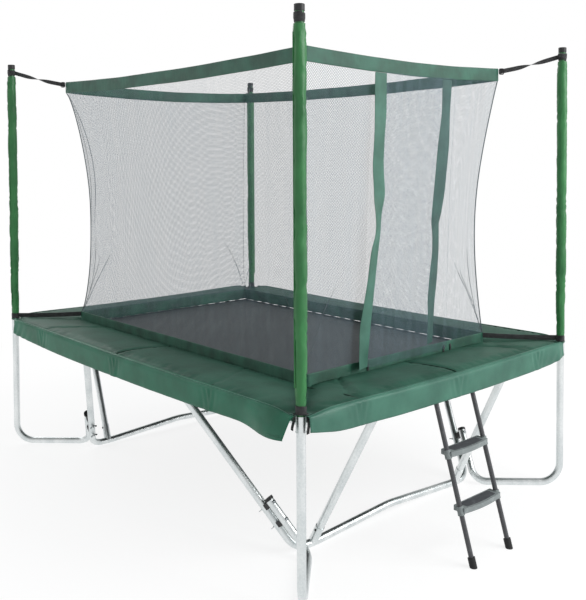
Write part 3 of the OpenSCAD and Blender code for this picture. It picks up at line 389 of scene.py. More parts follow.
HX, HY, RAIL = 1.05, 1.505, 0.85
sleeve_cover = coated_fabric("green_sleeve_cover", "38884A", "206735", 0.26, 0.07, 0.38)
sleeve_low, sleeve_top, seams = 0.924, 2.566, (0.19, 0.485, 0.785)
tied_r, full_r, seam_in, seam_spread, unevenness = 0.0235, 0.029, 0.003, 0.006, 0.0012
columns, layers = 28, 116
rows, held = [], []
for i in range(layers + 1):
    t = i / layers
    z = sleeve_low + (sleeve_top - sleeve_low) * t
    pull = max(math.exp(-((t - s) / seam_spread) ** 2) for s in seams)
    closed = max(0, (t - 0.97) / 0.03)
    body = tied_r + (full_r - tied_r) * min(1, t / 0.22) - seam_in * pull - seam_in * closed
    row = []
    for j in range(columns):
        a = 2 * math.pi * j / columns
        wave = noise.noise(Vector((math.cos(a) * 1.6, math.sin(a) * 1.6, z * 5.5)))
        r = body + unevenness * wave
        row.append((r * math.cos(a), r * math.sin(a), z))
    rows.append(row)
    if i in (0, layers) or pull > 0.5:
        held += range(i * columns, (i + 1) * columns)
first = skin("sleeve_front_left", rows, around=True)
swell(first, held, 2.0, 0.0028, slack=0.025)
shape = points_of(first.data)
sleeves = [first] + [skin("sleeve_" + end, rows, around=True) for end in ENDS[1:]]
for sleeve, end, spin in zip(sleeves, ENDS, (0, 1.9, 3.7, 5.2)):
    sx, sy = (-1 if "left" in end else 1), (-1 if "front" in end else 1)
    c, s = math.cos(spin), math.sin(spin)
    placed = np.column_stack([shape[:, 0] * c - shape[:, 1] * s + HX * sx,
                              shape[:, 0] * s + shape[:, 1] * c + HY * sy, shape[:, 2]])
    sleeve.data.vertices.foreach_set("co", placed.ravel())
dress_all(sleeve_cover, "green_cover", "frame", *sleeves)
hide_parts("pole_sleeves")


def strip(name, line, across, thick, shape, closed=False):
    """A flat band or tube along a line of points. across gives its half width at each point,
    as a vector, and thick its half thickness, both in metres. shape is how many points go round."""
    line, across = np.asarray(line, float), np.asarray(across, float)
    ahead = np.gradient(line, axis=0)
    if closed:
        ahead = np.roll(line, -1, 0) - np.roll(line, 1, 0)
    out = np.cross(ahead, across)
    out *= thick / np.maximum(np.linalg.norm(out, axis=1, keepdims=True), 1e-9)
    turns = [2 * math.pi * j / shape for j in range(shape)]
    rows = [[p + w * math.copysign(abs(math.cos(a)) ** 0.6, math.cos(a)) + o * math.sin(a)
             for a in turns] for p, w, o in zip(line, across, out)]
    return skin(name, rows, around=True, ring=closed)


def join(name, pieces):
    """One mesh of several, with the first one's materials."""
    bpy.ops.object.select_all(action="DESELECT")
    for piece in pieces:
        piece.select_set(True)
    bpy.context.view_layer.objects.active = pieces[0]
    bpy.ops.object.join()
    pieces[0].name = name
    pieces[0].select_set(False)
    return pieces[0]


# The lengthwise seams: a narrow lip where the cover is closed, on the side away from the jumpers.
lip_r, lip_foot, lip_step, lip_points = 0.0285, 1.0, 0.03, 52
lips = []
for sx, sy in CORNERS:
    out = Vector((sx, -0.35 * sy, 0)).normalized()
    x, y = HX * sx + out.x * lip_r, HY * sy + out.y * lip_r
    line = [(x, y, lip_foot + lip_step * i) for i in range(lip_points)]
    lips.append(strip("lip", line, [tuple(out * 0.004)] * len(line), 0.001, 6))
sleeve_lips = join("sleeve_seam_lips", lips)
dress_all(sleeve_cover, "green_cover", "frame", sleeve_lips)

# ---------- Edge pads ----------
# Four foam pads in blue-green coated fabric lie over the springs. Each cover is sewn from
# panels, so a seam crosses it here and there, and its ends are mitred at the corners.

pad_inset, pad_over, notch, foam, hook_out = 0.324, 0.060, 0.032, 0.022, 0.0263
pad_low_out, pad_low_in = RAIL + hook_out + 0.0008, RAIL + 0.0128
pad_crown, pad_step, mitre_gap, groove_deep, groove_wide = 0.005, 0.018, 0.0012, 0.008, 0.009


def plan(side, run, out):
    """Plan point on a side: 0 front, 1 right, 2 back, 3 left."""
    return ((run, -out), (out, run), (-run, out), (-out, -run))[side]


def along(side):
    return HX if side % 2 == 0 else HY


def square_to(side):
    return HY if side % 2 == 0 else HX


def ease(t):
    t = min(1, max(0, t))
    return t * t * (3 - 2 * t)


def pad_low(e, u):
    """Underside of a pad at e outwards from the rail and u along the side, from -1 to 1."""
    drop = 0.018 * (1 - u * u) ** 2 * ease((e - hook_out) / (pad_over - hook_out))
    rise = (pad_low_out - pad_low_in) * min(1, (e + pad_inset) / (pad_inset - notch))
    return pad_low_in + rise - drop


# How far the covers are drawn in at each side's two ends, where they turn in to the pole.
tucks = ((0, 0.4), (0.4, 1), (1, 1), (1, 0))


def tucked(side, run, e):
    """How far out a cover lies where it would lie e out away from the ends."""
    share = tucks[side][int(run > 0)] * ease((abs(run) - along(side) + 0.125) / 0.08)
    return e if e < 0 else e * (1 - 0.6 * share)


def thinned(side, run, low, high):
    """The pad's height shrinks towards each end, where the cover is pressed flat."""
    return low + (high - low) * (1 - 0.7 * math.exp(-((along(side) - abs(run)) / 0.085) ** 2))


def pad_puff(e, u):
    """How far the foam's top is crowned."""
    share = min(1, max(0, (e + pad_inset) / (pad_inset + pad_over)))
    return pad_crown * math.sin(math.pi * share) * (1 - u ** 6)


pad_cover = coated_fabric("green_pad_cover", "3A6957", "2A5142", 0.0, 0.11, 0.14)
pad_seams = {0: (-0.02, 0.71, -0.74), 1: (-0.16, 0.94), 2: (0.1, -0.72), 3: (-0.02, 0.9, -0.95)}
pads = []
for side, label in enumerate(SIDES):
    reach, rim = along(side), square_to(side)
    count = int(reach * 2 / pad_step)
    top_e = np.concatenate([[-pad_inset], np.linspace(-pad_inset + 0.004, 0.046, 20), [0.0535]])
    lift = np.concatenate([[0.5], [0.86], np.ones(18), [0.93], [0.62]])
    low_e = top_e[::-1]
    rows, held = [], []
    for i in range(count + 1):
        u = (2 * i / count - 1) * (1.0 - mitre_gap / reach)
        gap = min(abs(u * reach - s) for s in pad_seams[side])
        groove = math.exp(-(gap / groove_wide) ** 2)
        row = []
        for e, share in zip(top_e, lift):
            run = u * (reach + min(e, -notch))
            wave = noise.noise(Vector((run * 2.4, e * 4, side * 7.1))) * 0.0012
            z = pad_low(e, u) + foam * share + (pad_puff(e, u) - 0.004 + wave) * (share > 0.9) \
                - groove_deep * groove * (share > 0.8)
            z = thinned(side, u * reach, pad_low(e, u), z)
            row.append((*plan(side, run, rim + tucked(side, run, e)), z))
        for e in low_e:
            run = u * (reach + min(e, -notch))
            row.append((*plan(side, run, rim + tucked(side, run, e)), pad_low(e, u) + 0.0002))
        n = len(row)
        held += [i * n + j for j in range(n) if j in (0, len(top_e) - 1) or j > len(top_e)
                 or groove > 0.5 or i in (0, count)]
        rows.append(row)
    pad = skin("pad_foam_" + label, rows, around=True)
    half = len(top_e)
    caps = []
    for k in (0, count):
        for j in range(half - 1):
            quad = (k * n + j, k * n + j + 1, k * n + 2 * half - 2 - j, k * n + 2 * half - 1 - j)
            caps.append(quad if k else quad[::-1])
    mesh = pad.data
    everything = [tuple(p.vertices) for p in mesh.polygons] + caps
    fresh = bpy.data.meshes.new(pad.name)
    fresh.from_pydata([tuple(v.co) for v in mesh.vertices], [], everything)
    fresh.polygons.foreach_set("use_smooth", [True] * len(fresh.polygons))
    pad.data = fresh
    swell(pad, held, 2.6, 0.0045, slack=0.018)
    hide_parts("pad_" + label)
    pads.append(pad)
dress_all(pad_cover, "green_cover", "frame", *pads)

# Where two panels meet, the cover is sewn down in a groove. A narrow dark strip lies in each groove as
# painted shade for the groove.
seam_shade_strips = []
for side in range(4):
    reach, rim = along(side), square_to(side)
    for run in pad_seams[side]:
        line = []
        for e in np.linspace(-pad_inset + 0.012, 0.050, 24):
            u = run / (reach + min(e, -notch))
            skew = 0.012 * math.sin(2.2 * (e + pad_inset) / (pad_over + pad_inset) + side)
            fall = 0.010 * ease((e - 0.034) / 0.02)
            z = pad_low(e, u) + foam + pad_puff(e, u) - 0.0058 - fall
            line.append((*plan(side, run + skew, rim + e), z))
        seam_shade_strips.append(strip("groove_shade", line, [(*plan(side, 0.0042, 0), 0)] * len(line), 0.0022, 8))
pad_seam_shade = join("pad_seam_painted_shade", seam_shade_strips)
# The strips' dark green is painted shade in the seam grooves.
seam_shade_cloth = coated_fabric("dark_green_painted_seam_shade", "28493B", "1B352A", 0.02, 0.05, 0.2)
dress_all(seam_shade_cloth, "green_cover", "frame", pad_seam_shade)

# ---------- Skirts ----------
# The pads' covers run on over a piped edge and hang down in front of the rails, hemmed at the
# bottom, and gathered a little where the panels are sewn together.

skirt_cover = coated_fabric("green_skirt_cover", "47806C", "306353", 0.16, 0.09, 0.35)
# The left and right skirts take a darker, more saturated copy of the same cover: painted shade.
painted_shade_skirt_cover = coated_fabric("green_long_skirt_painted_shade", "307F63", "1E6249", 0.1, 0.09, 0.3)
skirt_drop, skirt_sag, tuck_in, skirt_cut, skirt_step = 0.092, 0.040, 0.046, 0.17, 0.010
cloth_thick, piping_r = 0.0012, 0.0024


def skirt_low(u):
    """Height of a skirt's lower edge, which sags between the corners."""
    return pad_low_out + foam - skirt_drop - skirt_sag * (1 - abs(u) ** 3)


# Near an untucked end the cover stands off loosely, flares, and curls in at the very end. Near a
# tucked end it is drawn in and pleated.
skirts, pad_pipings = [], []
for side, label in enumerate(SIDES):
    reach, rim = along(side), square_to(side)
    count = int(reach * 2 / skirt_step)
    run_end = reach + 0.004
    rows, edge = [], []
    for i in range(count + 1):
        u = 2 * i / count - 1
        run = u * (run_end if tucks[side][int(u > 0)] == 0 else reach - tuck_in)
        fold = thinned(side, run, pad_low(pad_over, u), pad_low(pad_over, u) + foam * 0.62)
        left, free = reach - abs(run), 1 - tucks[side][int(run > 0)]
        billow = free * math.exp(-((left - 0.17) / 0.13) ** 2)
        curl = free * math.exp(-(left / 0.022) ** 2)
        flare = (0.052 if side == 3 else 0.006) * free * ease((0.50 - left) / 0.42)
        tuck_fold = (1 - free) * math.exp(-(left / 0.26) ** 2)
        near_free = free * math.exp(-(left / 0.2) ** 2)
        low = skirt_low(u) - 0.010 * billow + (0.012 if side == 0 else -0.014) * near_free
        near = min(pad_seams[side], key=lambda s: abs(run - s))
        near_seam = math.exp(-((run - near) / 0.06) ** 2)
        near_end = math.exp(-((1 - abs(u)) * reach / 0.10) ** 2)
        drawn = tucked(side, run, pad_over)
        loose = (drawn / pad_over - 0.4) / 0.6
        gather = (1 - loose) * math.sin(run * 150) * 0.0065
        broad = noise.noise(Vector((run * 3.1, side * 3.3, 0.4)))
        tight = noise.noise(Vector((run * 16, side * 5.7, 1.9)))
        row = []
        for e, rise in ((0.040, 0.0212), (0.048, 0.0212), (0.0545, 0.0185), (0.0585, 0.0145)):
            z = thinned(side, run, pad_low(e, u), pad_low(e, u) + rise + 0.0006) + gather
            row.append((*plan(side, run, rim + tucked(side, run, e)), z))
        edge.append(row[1])
        for f in np.linspace(0.06, 1, 11):
            z = fold + (low - fold) * f
            ripple = math.sin(run * 150 + 4 * f * math.copysign(1, run - near)) * near_seam
            belly = (0.008 if side == 0 else 0.020) * billow * math.sin(math.pi * f ** 0.8)
            raised = flare * max(0, f - 0.75 * ease((left - 0.05) / 0.40))
            pleat = 0.0050 * tuck_fold * math.sin(run * 78 + 5 * f) * (0.3 + 0.7 * f)
            sway = 0.0045 * broad * f + 0.0030 * tight * f * (0.35 + 1.6 * near_seam) \
                + 0.006 * near_end * f * f - 0.003 * near_seam * math.sin(math.pi * f) \
                + 0.0035 * ripple * (1 - 0.7 * f) + belly + raised + pleat - 0.006 * curl * f
            row.append((*plan(side, run, rim + drawn + sway * loose + gather), z))
        e_low = rim + drawn + sway * loose + gather
        row.append((*plan(side, run, e_low - 0.0022), low - 0.0012))
        row.append((*plan(side, run, e_low - 0.0040), low + 0.0010))
        row.append((*plan(side, run, e_low - 0.0034), low + 0.016))
        rows.append(row)
    skirt = skin("pad_skirt_" + label, rows)
    thicken(skirt, cloth_thick, -1)
    skirts.append(skirt)
    piping_across = [tuple(Vector((*plan(side, 0, 1), 0)) * piping_r)] * len(edge)
    piping = strip("pad_piping_" + label, edge, piping_across, piping_r, 8)
    pad_pipings.append(piping)
    2 * run_end
dress_all(skirt_cover, "green_cover", "frame", skirts[2])
dress_all(painted_shade_skirt_cover, "green_cover", "frame", skirts[1], skirts[3])
cover(skirts[0], skirt_cover, "green_cover")
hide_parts("pad_front_skirt")
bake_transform(skirts[0])
dress_all(skirt_cover, "green_cover", "frame", *pad_pipings)

# At each corner a gathered collar of the same cover closes the notch round the pole.
collar_in, collar_least, collar_notch, collar_out, collar_z = 0.0258, 0.0285, 0.0315, 0.0400, 0.8795
collars = []
for sx, sy in CORNERS:
    a_side, b_side = (1 if sx > 0 else 3), (0 if sy < 0 else 2)
    a_share = tucks[a_side][(sy > 0) if sx > 0 else (sy < 0)]
    b_share = tucks[b_side][(sx > 0) if sy < 0 else (sx < 0)]
    rows = []
    for angle in np.linspace(math.radians(88), math.radians(362), 96):
        c, s = math.cos(angle), math.sin(angle)
        limits = [collar_notch / -c if c < 0 else collar_out * (1 - 0.55 * a_share) / max(c, 1e-3),
                  collar_notch / -s if s < 0 else collar_out * (1 - 0.55 * b_share) / max(s, 1e-3)]
        far = max(collar_least, min(limits))
        row = []
        for t in np.linspace(0, 1, 7):
            r = collar_in + (far - collar_in) * t
            gathers = 0.0016 * math.sin(angle * 15) * (1 - t)
            z = collar_z + 0.0070 * t + gathers + 0.0022 * math.sin(math.pi * t)
            row.append((sx * (HX + r * c), sy * (HY + r * s), z))
        rows.append(row)
    collars.append(skin("collar", rows))
pad_collars = join("pad_corner_collars", collars)
thicken(pad_collars, cloth_thick)
dress_all(skirt_cover, "green_cover", "frame", pad_collars)

# ---------- Jump mat ----------
# Dark polypropylene cloth, woven tight and stretched flat. Its edges are folded into a hem with
# three rows of stitches, which holds a webbing tab for every spring.

spring_span, hem = 0.325, 0.045
mat_x, mat_y = HX - spring_span, HY - spring_span
mat_cloth, shader, place = start_finish("mat_cloth", Sheen_Weight=0.12)
warp = place.part(0).sine(0.0032) * place.part(1).sine(0.0026)
streaks = place.node("VectorRotate", {"rotation_type": "Z_AXIS"}, {"Vector": place, "Angle": 0.7}) \
    .clouds(0.05, 4.0, (1, 0.08, 1)).step(0.42, 0.72)
dust = place.clouds(0.3, 3.0).step(0.35, 0.8)
shade = streaks * 0.35 + dust * 0.45 + warp * 0.2
paint(shader, shade.mix("292C2D", "3F4546"), 0.62 + warp * 0.15 - streaks * 0.08, warp, 0.0005)
mat_sag = 0.004
rows = [[(mat_x * u, mat_y * v, RAIL - mat_sag * (1 - u ** 2) * (1 - v ** 2) + 0.0008)
         for u in (i / 32 - 1 for i in range(65))] for v in (j / 48 - 1 for j in range(97))]
mat = skin("jump_mat_cloth", rows)
thicken(mat, 0.002)
dress_all(mat_cloth, "mat_fabric", "mat", mat)
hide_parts("jump_mat")

hem_cloth, shader, place = start_finish("mat_hem_webbing")
inset = (place.part(0).math("ABSOLUTE") - mat_x).math("MAXIMUM", place.part(1).math("ABSOLUTE") - mat_y) * -1
rib = inset.sine(0.0021)
row = (inset - 0.007).math("ABSOLUTE")
for depth in (0.0135, 0.0385):
    row = row.math("MINIMUM", row, (inset - depth).math("ABSOLUTE"))
dash = (place.part(0) + place.part(1)).sine(0.0055).step(0.25, 0.4)
thread = (1 - row.step(0.0004, 0.001)) * dash
worn = place.clouds(0.06, 3.0).mix("222425", "34383A")
paint(shader, thread.mix(worn, "515758"), 0.6 + rib * 0.15, rib * 0.4 + thread * 0.6, 0.0007)
corners = [(mat_x, -mat_y), (mat_x, mat_y), (-mat_x, mat_y), (-mat_x, -mat_y)]
line, across = [], []
for (ax, ay), (bx, by) in zip(corners, corners[1:] + corners[:1]):
    for step in range(24):
        share = step / 24
        x, y = ax + (bx - ax) * share, ay + (by - ay) * share
        w = [math.copysign(hem / 2, at) * (abs(at) > edge - 1e-6) for at, edge in ((x, mat_x), (y, mat_y))]
        line.append((x - w[0], y - w[1], RAIL))
        across.append((*w, 0))
mat_edge = strip("mat_hem", line, across, 0.0034, 16, closed=True)
dress_all(hem_cloth, "black_webbing", "mat", mat_edge)

# ---------- Mat rings, tabs and springs ----------
# Each spring hooks a ring of zinc-plated wire bent to a narrow trapezium, which a sewn webbing
# tab holds on the mat. At the rail the wire goes through a drilled hole.

spring_pitch, end_springs, side_springs = 0.1, 14, 24
springs_at = [(side, (i - (count - 1) / 2) * spring_pitch)
              for side, count in enumerate((end_springs, side_springs) * 2) for i in range(count)]


def copies(name, pattern, places):
    """One mesh of a pattern piece set at each of these matrices. The pattern goes."""
    spots = np.column_stack([points_of(pattern.data), np.ones(len(pattern.data.vertices))])
    faces = np.array([tuple(p.vertices) for p in pattern.data.polygons])
    mesh = bpy.data.meshes.new(name)
    mesh.from_pydata(np.concatenate([(spots @ np.asarray(m).T)[:, :3] for m in places]).tolist(), [],
                     np.concatenate([faces + k * len(spots) for k in range(len(places))]).tolist())
    mesh.polygons.foreach_set("use_smooth", [True] * len(mesh.polygons))
    cut = np.zeros(len(pattern.data.loops) * 2, np.float32)
    pattern.data.uv_layers["cut"].data.foreach_get("uv", cut)
    mesh.uv_layers.new(name="cut").data.foreach_set("uv", np.tile(cut, len(places)))
    bpy.data.objects.remove(pattern)
    return put(name, mesh)


def set_at(side, run, out):
    """A place at the rail's height with X outwards from the mat, Y along the side and Z up."""
    place = np.identity(4)
    place[:2, 0], place[:2, 1] = plan(side, 0, 1), plan(side, 1, 0)
    place[:3, 3] = (*plan(side, run, out), RAIL)
    return place


# Outlines of a ring and of a tab's side, both measured outwards from the mat's edge.
bend = [(0.0045, -0.0157), (0.0026, -0.0145), (0.0026, 0), (0.0026, 0.0145), (0.0045, 0.0157),
        (0.017, 0.0108), (0.0275, 0.0062), (0.0298, 0.0045), (0.0299, 0), (0.0298, -0.0045),
        (0.0275, -0.0062), (0.017, -0.0108)]
ring = strip("ring", [(s, w, 0) for s, w in bend], [(0, 0, 0.00215)] * 12, 0.00215, 6, closed=True)
tab_half = [(-0.030, 0.0045), (-0.012, 0.0048), (0.0006, 0.0046), (0.0046, 0.0032)]
tab_side = tab_half + [(0.0058, 0)] + [(s, -h) for s, h in tab_half[::-1]]
tab = strip("tab", [(s, 0, h) for s, h in tab_side], [(0, 0.0125, 0)] * 9, 0.0007, 8)
places = [set_at(side, run, square_to(side) - spring_span) for side, run in springs_at]
mat_rings = copies("mat_ring_wires", ring, places)
mat_tabs = copies("mat_tabs", tab, places)
plated = zinc("plated_wire", "8E9496", "C9CDCE", 0.3)
dress_all(plated, "zinc_wire", "mat", mat_rings)
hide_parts("mat_rings")

# The wire hooks into the ring, winds up the coil and ends in a hook through the rail's hole.
turns, start, end, coil_r, wire_r, neck = 28, 0.0586, 0.2780, 0.0098, 0.002, 0.008
path = [(0.030 + 0.0047 * math.cos(math.radians(a)), 0, 0.0047 * math.sin(math.radians(a)))
        for a in (215, 170, 130, 90, 50)] + [(0.0365, 0, 0.0008), (0.043, 0, 0), (0.0506, 0, 0)]
for i in range(8 * (turns + 2) + 1):
    t = i / 8
    wide = coil_r * min(1, t, turns + 2 - t)
    s = start - neck * (1 - min(1, t)) + (end - start) * min(1, max(0, (t - 1) / turns)) \
        + neck * max(0, t - turns - 1)
    path.append((s, wide * math.cos(math.pi * t * 2), wide * math.sin(math.pi * t * 2)))
path += [(0.293, 0, 0), (0.304, 0, 0), (0.3125, 0, 0), (0.3150, 0, -0.0035), (0.3135, 0, -0.0085)]
path = np.asarray(path)
ahead = np.gradient(path, axis=0)
ahead /= np.linalg.norm(ahead, axis=1, keepdims=True)
first = np.cross(ahead, (1, 0.02, 0.01))
first[np.abs(ahead[:, 0]) > 0.95] = (0, 1, 0)
first = np.cross(np.cross(ahead, first), ahead)
first /= np.linalg.norm(first, axis=1, keepdims=True)
second = np.cross(ahead, first)
wire = [path + wire_r * (first * math.cos(a) + second * math.sin(a)) for a in np.arange(5) * 2 * math.pi / 5]
rows = np.stack(wire, 1)
for side, label in enumerate(SIDES):
    edge = square_to(side) - spring_span
    coils = copies("springs_" + label, skin("coil", rows, around=True),
                   [set_at(k, run, edge) for k, run in springs_at if k == side])
    cover(coils, plated, "zinc_wire")
    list(plan(side, 0, edge + 0.29))
    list(plan(side, 0, edge + 0.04))
    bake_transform(coils)
    if side == 0:
        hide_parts("springs")

# ---------- Webbing straps, wraps and buckles ----------
# Black webbing, wound round each pole above and below its sleeve and knotted there. From each
# wrap a strap runs to a corner of the net: flat at the bottom, twisted to its buckle at the top.

webbing, shader, place = start_finish("black_webbing", Sheen_Weight=0.2)
cut = place.cut_map()
rib = cut.part(0).sine(0.0024) * 0.6 + cut.part(1).sine(0.0016) * 0.4
worn = place.clouds(0.03, 4.0).step(0.3, 0.8)
paint(shader, worn.mix("1B1C1D", "36383A"), 0.55 + rib * 0.2, rib, 0.0008)
dress_all(webbing, "black_webbing", "mat", mat_tabs)

wraps, straps, buckles = [], [], []
wrap_top, wrap_low, wrap_r, drop = 2.593, 0.906, 0.0248, 0.084
top_corner_in, low_corner_in, seated = 0.268, 0.330, 0.0003
top_reach, low_reach = top_corner_in * math.sqrt(2) - seated, low_corner_in * math.sqrt(2) - seated
wide_half, top_half, thin_half, buckle_long, buckle_high = 0.0145, 0.0135, 0.0011, 0.0135, 0.0165
for number, (sx, sy) in enumerate(CORNERS):
    pole, inwards = Vector((sx * HX, sy * HY, 0)), Vector((-sx, -sy, 0)).normalized()
    sideways = Vector((-inwards.y, inwards.x, 0))
    for middle, span, winds in ((wrap_top, 0.010, 2.6), (wrap_low, 0.003, 1.6)):
        line, across = [], []
        for i in range(int(winds * 24) + 1):
            a = 2 * math.pi * i / 24 + number
            lump = noise.noise(Vector((i * 0.23, number * 3.7, middle)))
            r = 0.0224 + 0.0013 * i / 24 + 0.0012 * lump
            out = inwards * math.cos(a) + sideways * math.sin(a)
            z = middle + span * (i / (winds * 12) - 1) + 0.002 * lump
            line.append(tuple(pole + out * r + Vector((0, 0, z))))
            across.append((out.x * 0.001 * lump, out.y * 0.001 * lump, wide_half))
        wraps.append(strip("wrap", line, across, 0.0012, 10))
    line, across = [], []
    a = pole + inwards * (wrap_r - 0.001) + Vector((0, 0, wrap_top))
    b = pole + inwards * (top_reach - 0.007) + Vector((0, 0, wrap_top - drop))
    for i in range(33):
        t = i / 32
        turned = math.pi * ease((t - 0.12) / 0.7) * (1 if number % 2 else -1)
        line.append(tuple(a.lerp(b, t) - Vector((0, 0, 0.006 * math.sin(math.pi * t)))))
        across.append(tuple((Vector((0, 0, 1)) * math.cos(turned) + sideways * math.sin(turned)) * top_half))
    straps.append(strip("strap", line, across, thin_half, 8))
    line = []
    for t in np.linspace(0, 1, 20):
        out = inwards * (wrap_r - 0.001 + (low_reach + 0.001 - wrap_r) * t)
        rise = 0.012 * t - 0.004 * math.sin(math.pi * t)
        line.append(tuple(pole + out + Vector((0, 0, wrap_low + rise))))
    straps.append(strip("strap", line, [(0, 0, wide_half)] * 20, thin_half, 8))
    centre = pole + inwards * (top_reach - 0.018) + Vector((0, 0, wrap_top - drop + 0.001))
    frame_line, frame_across = [], []
    for i in range(28):
        a = 2 * math.pi * i / 28
        c, s = math.cos(a), math.sin(a)
        aside, up = (math.copysign(abs(w) ** 0.45, w) for w in (c, s))
        frame_line.append(tuple(centre + inwards * aside * buckle_long + Vector((0, 0, up * buckle_high))))
        frame_across.append(tuple((inwards * c + Vector((0, 0, s))).normalized() * 0.0026))
    buckles.append(strip("buckle", frame_line, frame_across, 0.0032, 10, closed=True))
    for slip in (-0.004, 0.005):
        bar = [tuple(centre + inwards * slip + Vector((0, 0, buckle_high * t)))
               for t in np.linspace(-1, 1, 8)]
        buckles.append(strip("bar", bar, [tuple(inwards * 0.0022)] * 8, 0.0024, 8))
net_straps = join("net_webbing_straps", straps)
pole_wraps = join("pole_webbing_wraps", wraps)
strap_buckles = join("net_strap_buckles", buckles)
dress_all(webbing, "black_webbing", "frame", net_straps, pole_wraps)
dress_all(moulded("black_buckle", "141516", "232526", 0.5, 0.0010), "black_plastic", "frame", strap_buckles)
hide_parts("net_straps")
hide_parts("pole_wraps")
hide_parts("strap_buckles")

# ---------- Net bands ----------
# Green webbing that carries the net: a band round the top, sagging between its corners, and
# another round the bottom, just inside the pads. Both are stitched along their edges.


def band_cloth(name, lit, deep, width):
    """Plain woven band: fine ribs, a row of stitches along each edge, and a slack shine."""
    material, shader, place = start_finish(name, Coat_Weight=0.12, Coat_Roughness=0.4)
    cut = place.cut_map()
    rib = cut.part(0).sine(0.0026)
    edge = (cut.part(0) - 0.007).math("ABSOLUTE")
    edge = edge.math("MINIMUM", edge, (cut.part(0) - (width - 0.007)).math("ABSOLUTE"))
    stitch = (1 - edge.step(0.0005, 0.0013)) * cut.part(1).sine(0.006).step(0.2, 0.4)
    cloud = place.clouds(0.12, 4.0).step(0.3, 0.72)
    puckers = place.clouds(0.028, 3.0, (1, 1, 0.4))
    paint(shader, stitch.mix(cloud.mix(deep, lit), "8FB0A2"), 0.46 + rib * 0.12,
          rib * 0.1 + stitch * 0.2 + puckers * 0.7, 0.0034)
    return material


# A band's cross-section: the share of its height from the top, and of its thickness outwards.
band_section = ((0.0, 0.25), (0.012, 0.8), (0.06, 1), (0.28, 1), (0.5, 1), (0.72, 1), (0.94, 1), (0.988, 0.8),
                (1.0, 0.25), (0.988, 0.1), (0.72, 0), (0.5, 0), (0.28, 0), (0.012, 0.1))


def band_ring(name, inset, thick, high, low, wave):
    """A band round all four sides. low gives its lower edge at u from -1 to 1 along a side."""
    rows = []
    for side in range(4):
        reach = along(side) - inset
        count = int(reach * 2 / 0.022)
        for i in range(count):
            u = 2 * i / count - 1
            mitre = 1 if i == 0 else 0
            run = reach * u
            fade = 1 - abs(u) ** 8
            sway = wave * fade * noise.noise(Vector((run * 3.5, side * 4.1, inset * 9)))
            lean = wave * fade * noise.noise(Vector((run * 9, side * 2.3, inset * 5)))
            row = []
            for share, out in band_section:
                cup = 0.4 * lean * math.sin(math.pi * share) + sway * 0.5 * (share - 0.5)
                n = square_to(side) - inset + thick * out + cup
                x, y = plan(side, run - mitre * (thick * out), n)
                row.append((x, y, low(u) + high * (1 - share) + sway * 0.6))
            rows.append(row)
    return skin(name, rows, around=True, ring=True)


top_inset, top_high, top_foot, top_sag = 0.272, 0.075, 2.453, 0.022
low_inset, low_high, low_foot = 0.333, 0.078, 0.857


def band_low(u):
    """Height of the top band's lower edge."""
    return top_foot - top_sag * (1 - u * u)


top_band = band_ring("net_band_top", top_inset, 0.004, top_high, band_low, 0.006)
low_band = band_ring("net_band_bottom", low_inset, 0.003, low_high, lambda u: low_foot, 0.003)
dress_all(band_cloth("green_band_top", "306C58", "225342", top_high), "green_band", "frame", top_band)
dress_all(band_cloth("green_band_bottom", "2F6955", "1D4B3B", low_high), "green_band", "frame", low_band)
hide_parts("net_top_band")
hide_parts("net_bottom_band")

# ---------- Safety net ----------
# Soft knitted polyester mesh, cut in five panels and sewn into the bands. The straps pull its
# corners towards the poles, so the free edges bow inwards and folds run from each corner.


def knitted_net(name, cover, dark, light):
    """Diamond mesh of thin threads that hide this share of what lies behind them."""
    netting, shader, place = start_finish(name, Roughness=0.75, Sheen_Weight=0.1)
    cut = place.cut_map()
    left_way, right_way = cut.part(0) + cut.part(1) * 0.6, cut.part(0) - cut.part(1) * 0.6
    strands = left_way.math("MAXIMUM", left_way.sine(0.0092), right_way.sine(0.0092)) ** 7
    drape = cut.clouds(0.05, 3.0, (1, 0.05, 1)).step(0.25, 0.8)
    folds = cut.node("Mapping", {}, {"Vector": cut, "Scale": (7.0, 0.45, 1)})
    crease = cut.node("TexNoise", {"noise_type": "RIDGED_MULTIFRACTAL"},
                      {"Vector": folds, "Scale": 1.0, "Detail": 2.0})
    drape.mix(dark, light).feed(shader, "Base Color")
    (0.01 + strands * cover + drape * 0.04 + crease.step(1.12, 1.22) * 0.3).feed(shader, "Alpha")
    relief(strands, 0.0010).feed(shader, "Normal")
    return netting


wall_net = knitted_net("knitted_net_walls", 0.76, "5B6E79", "748894")
# The right wall, the door side and the door flaps take the same mesh with paler threads and a thinner cover.
# The paler threads are painted light on the side that faces the main lamp.
painted_light_net = knitted_net("knitted_net_painted_light", 0.52, "627884", "7F95A3")

# How far each corner of the net is drawn in halfway up, and how roundly: front right, back
# right, back left, front left.
drawn_in = ((0.058, 0.95), (0.068, 0.65), (0.080, 0.70), (0.068, 0.65))
net_foot, hem_gap = 0.9354, 0.0004


def pinch_at(side, v, end):
    deep, power = drawn_in[side if end > 0 else side - 1]
    return deep * math.sin(math.pi * min(1, max(0, v))) ** power


def net_inset(v):
    return low_inset - (low_inset - top_inset) * v


def net_reach(side, v, end=1):
    return along(side) - net_inset(v) - pinch_at(side, v, end)


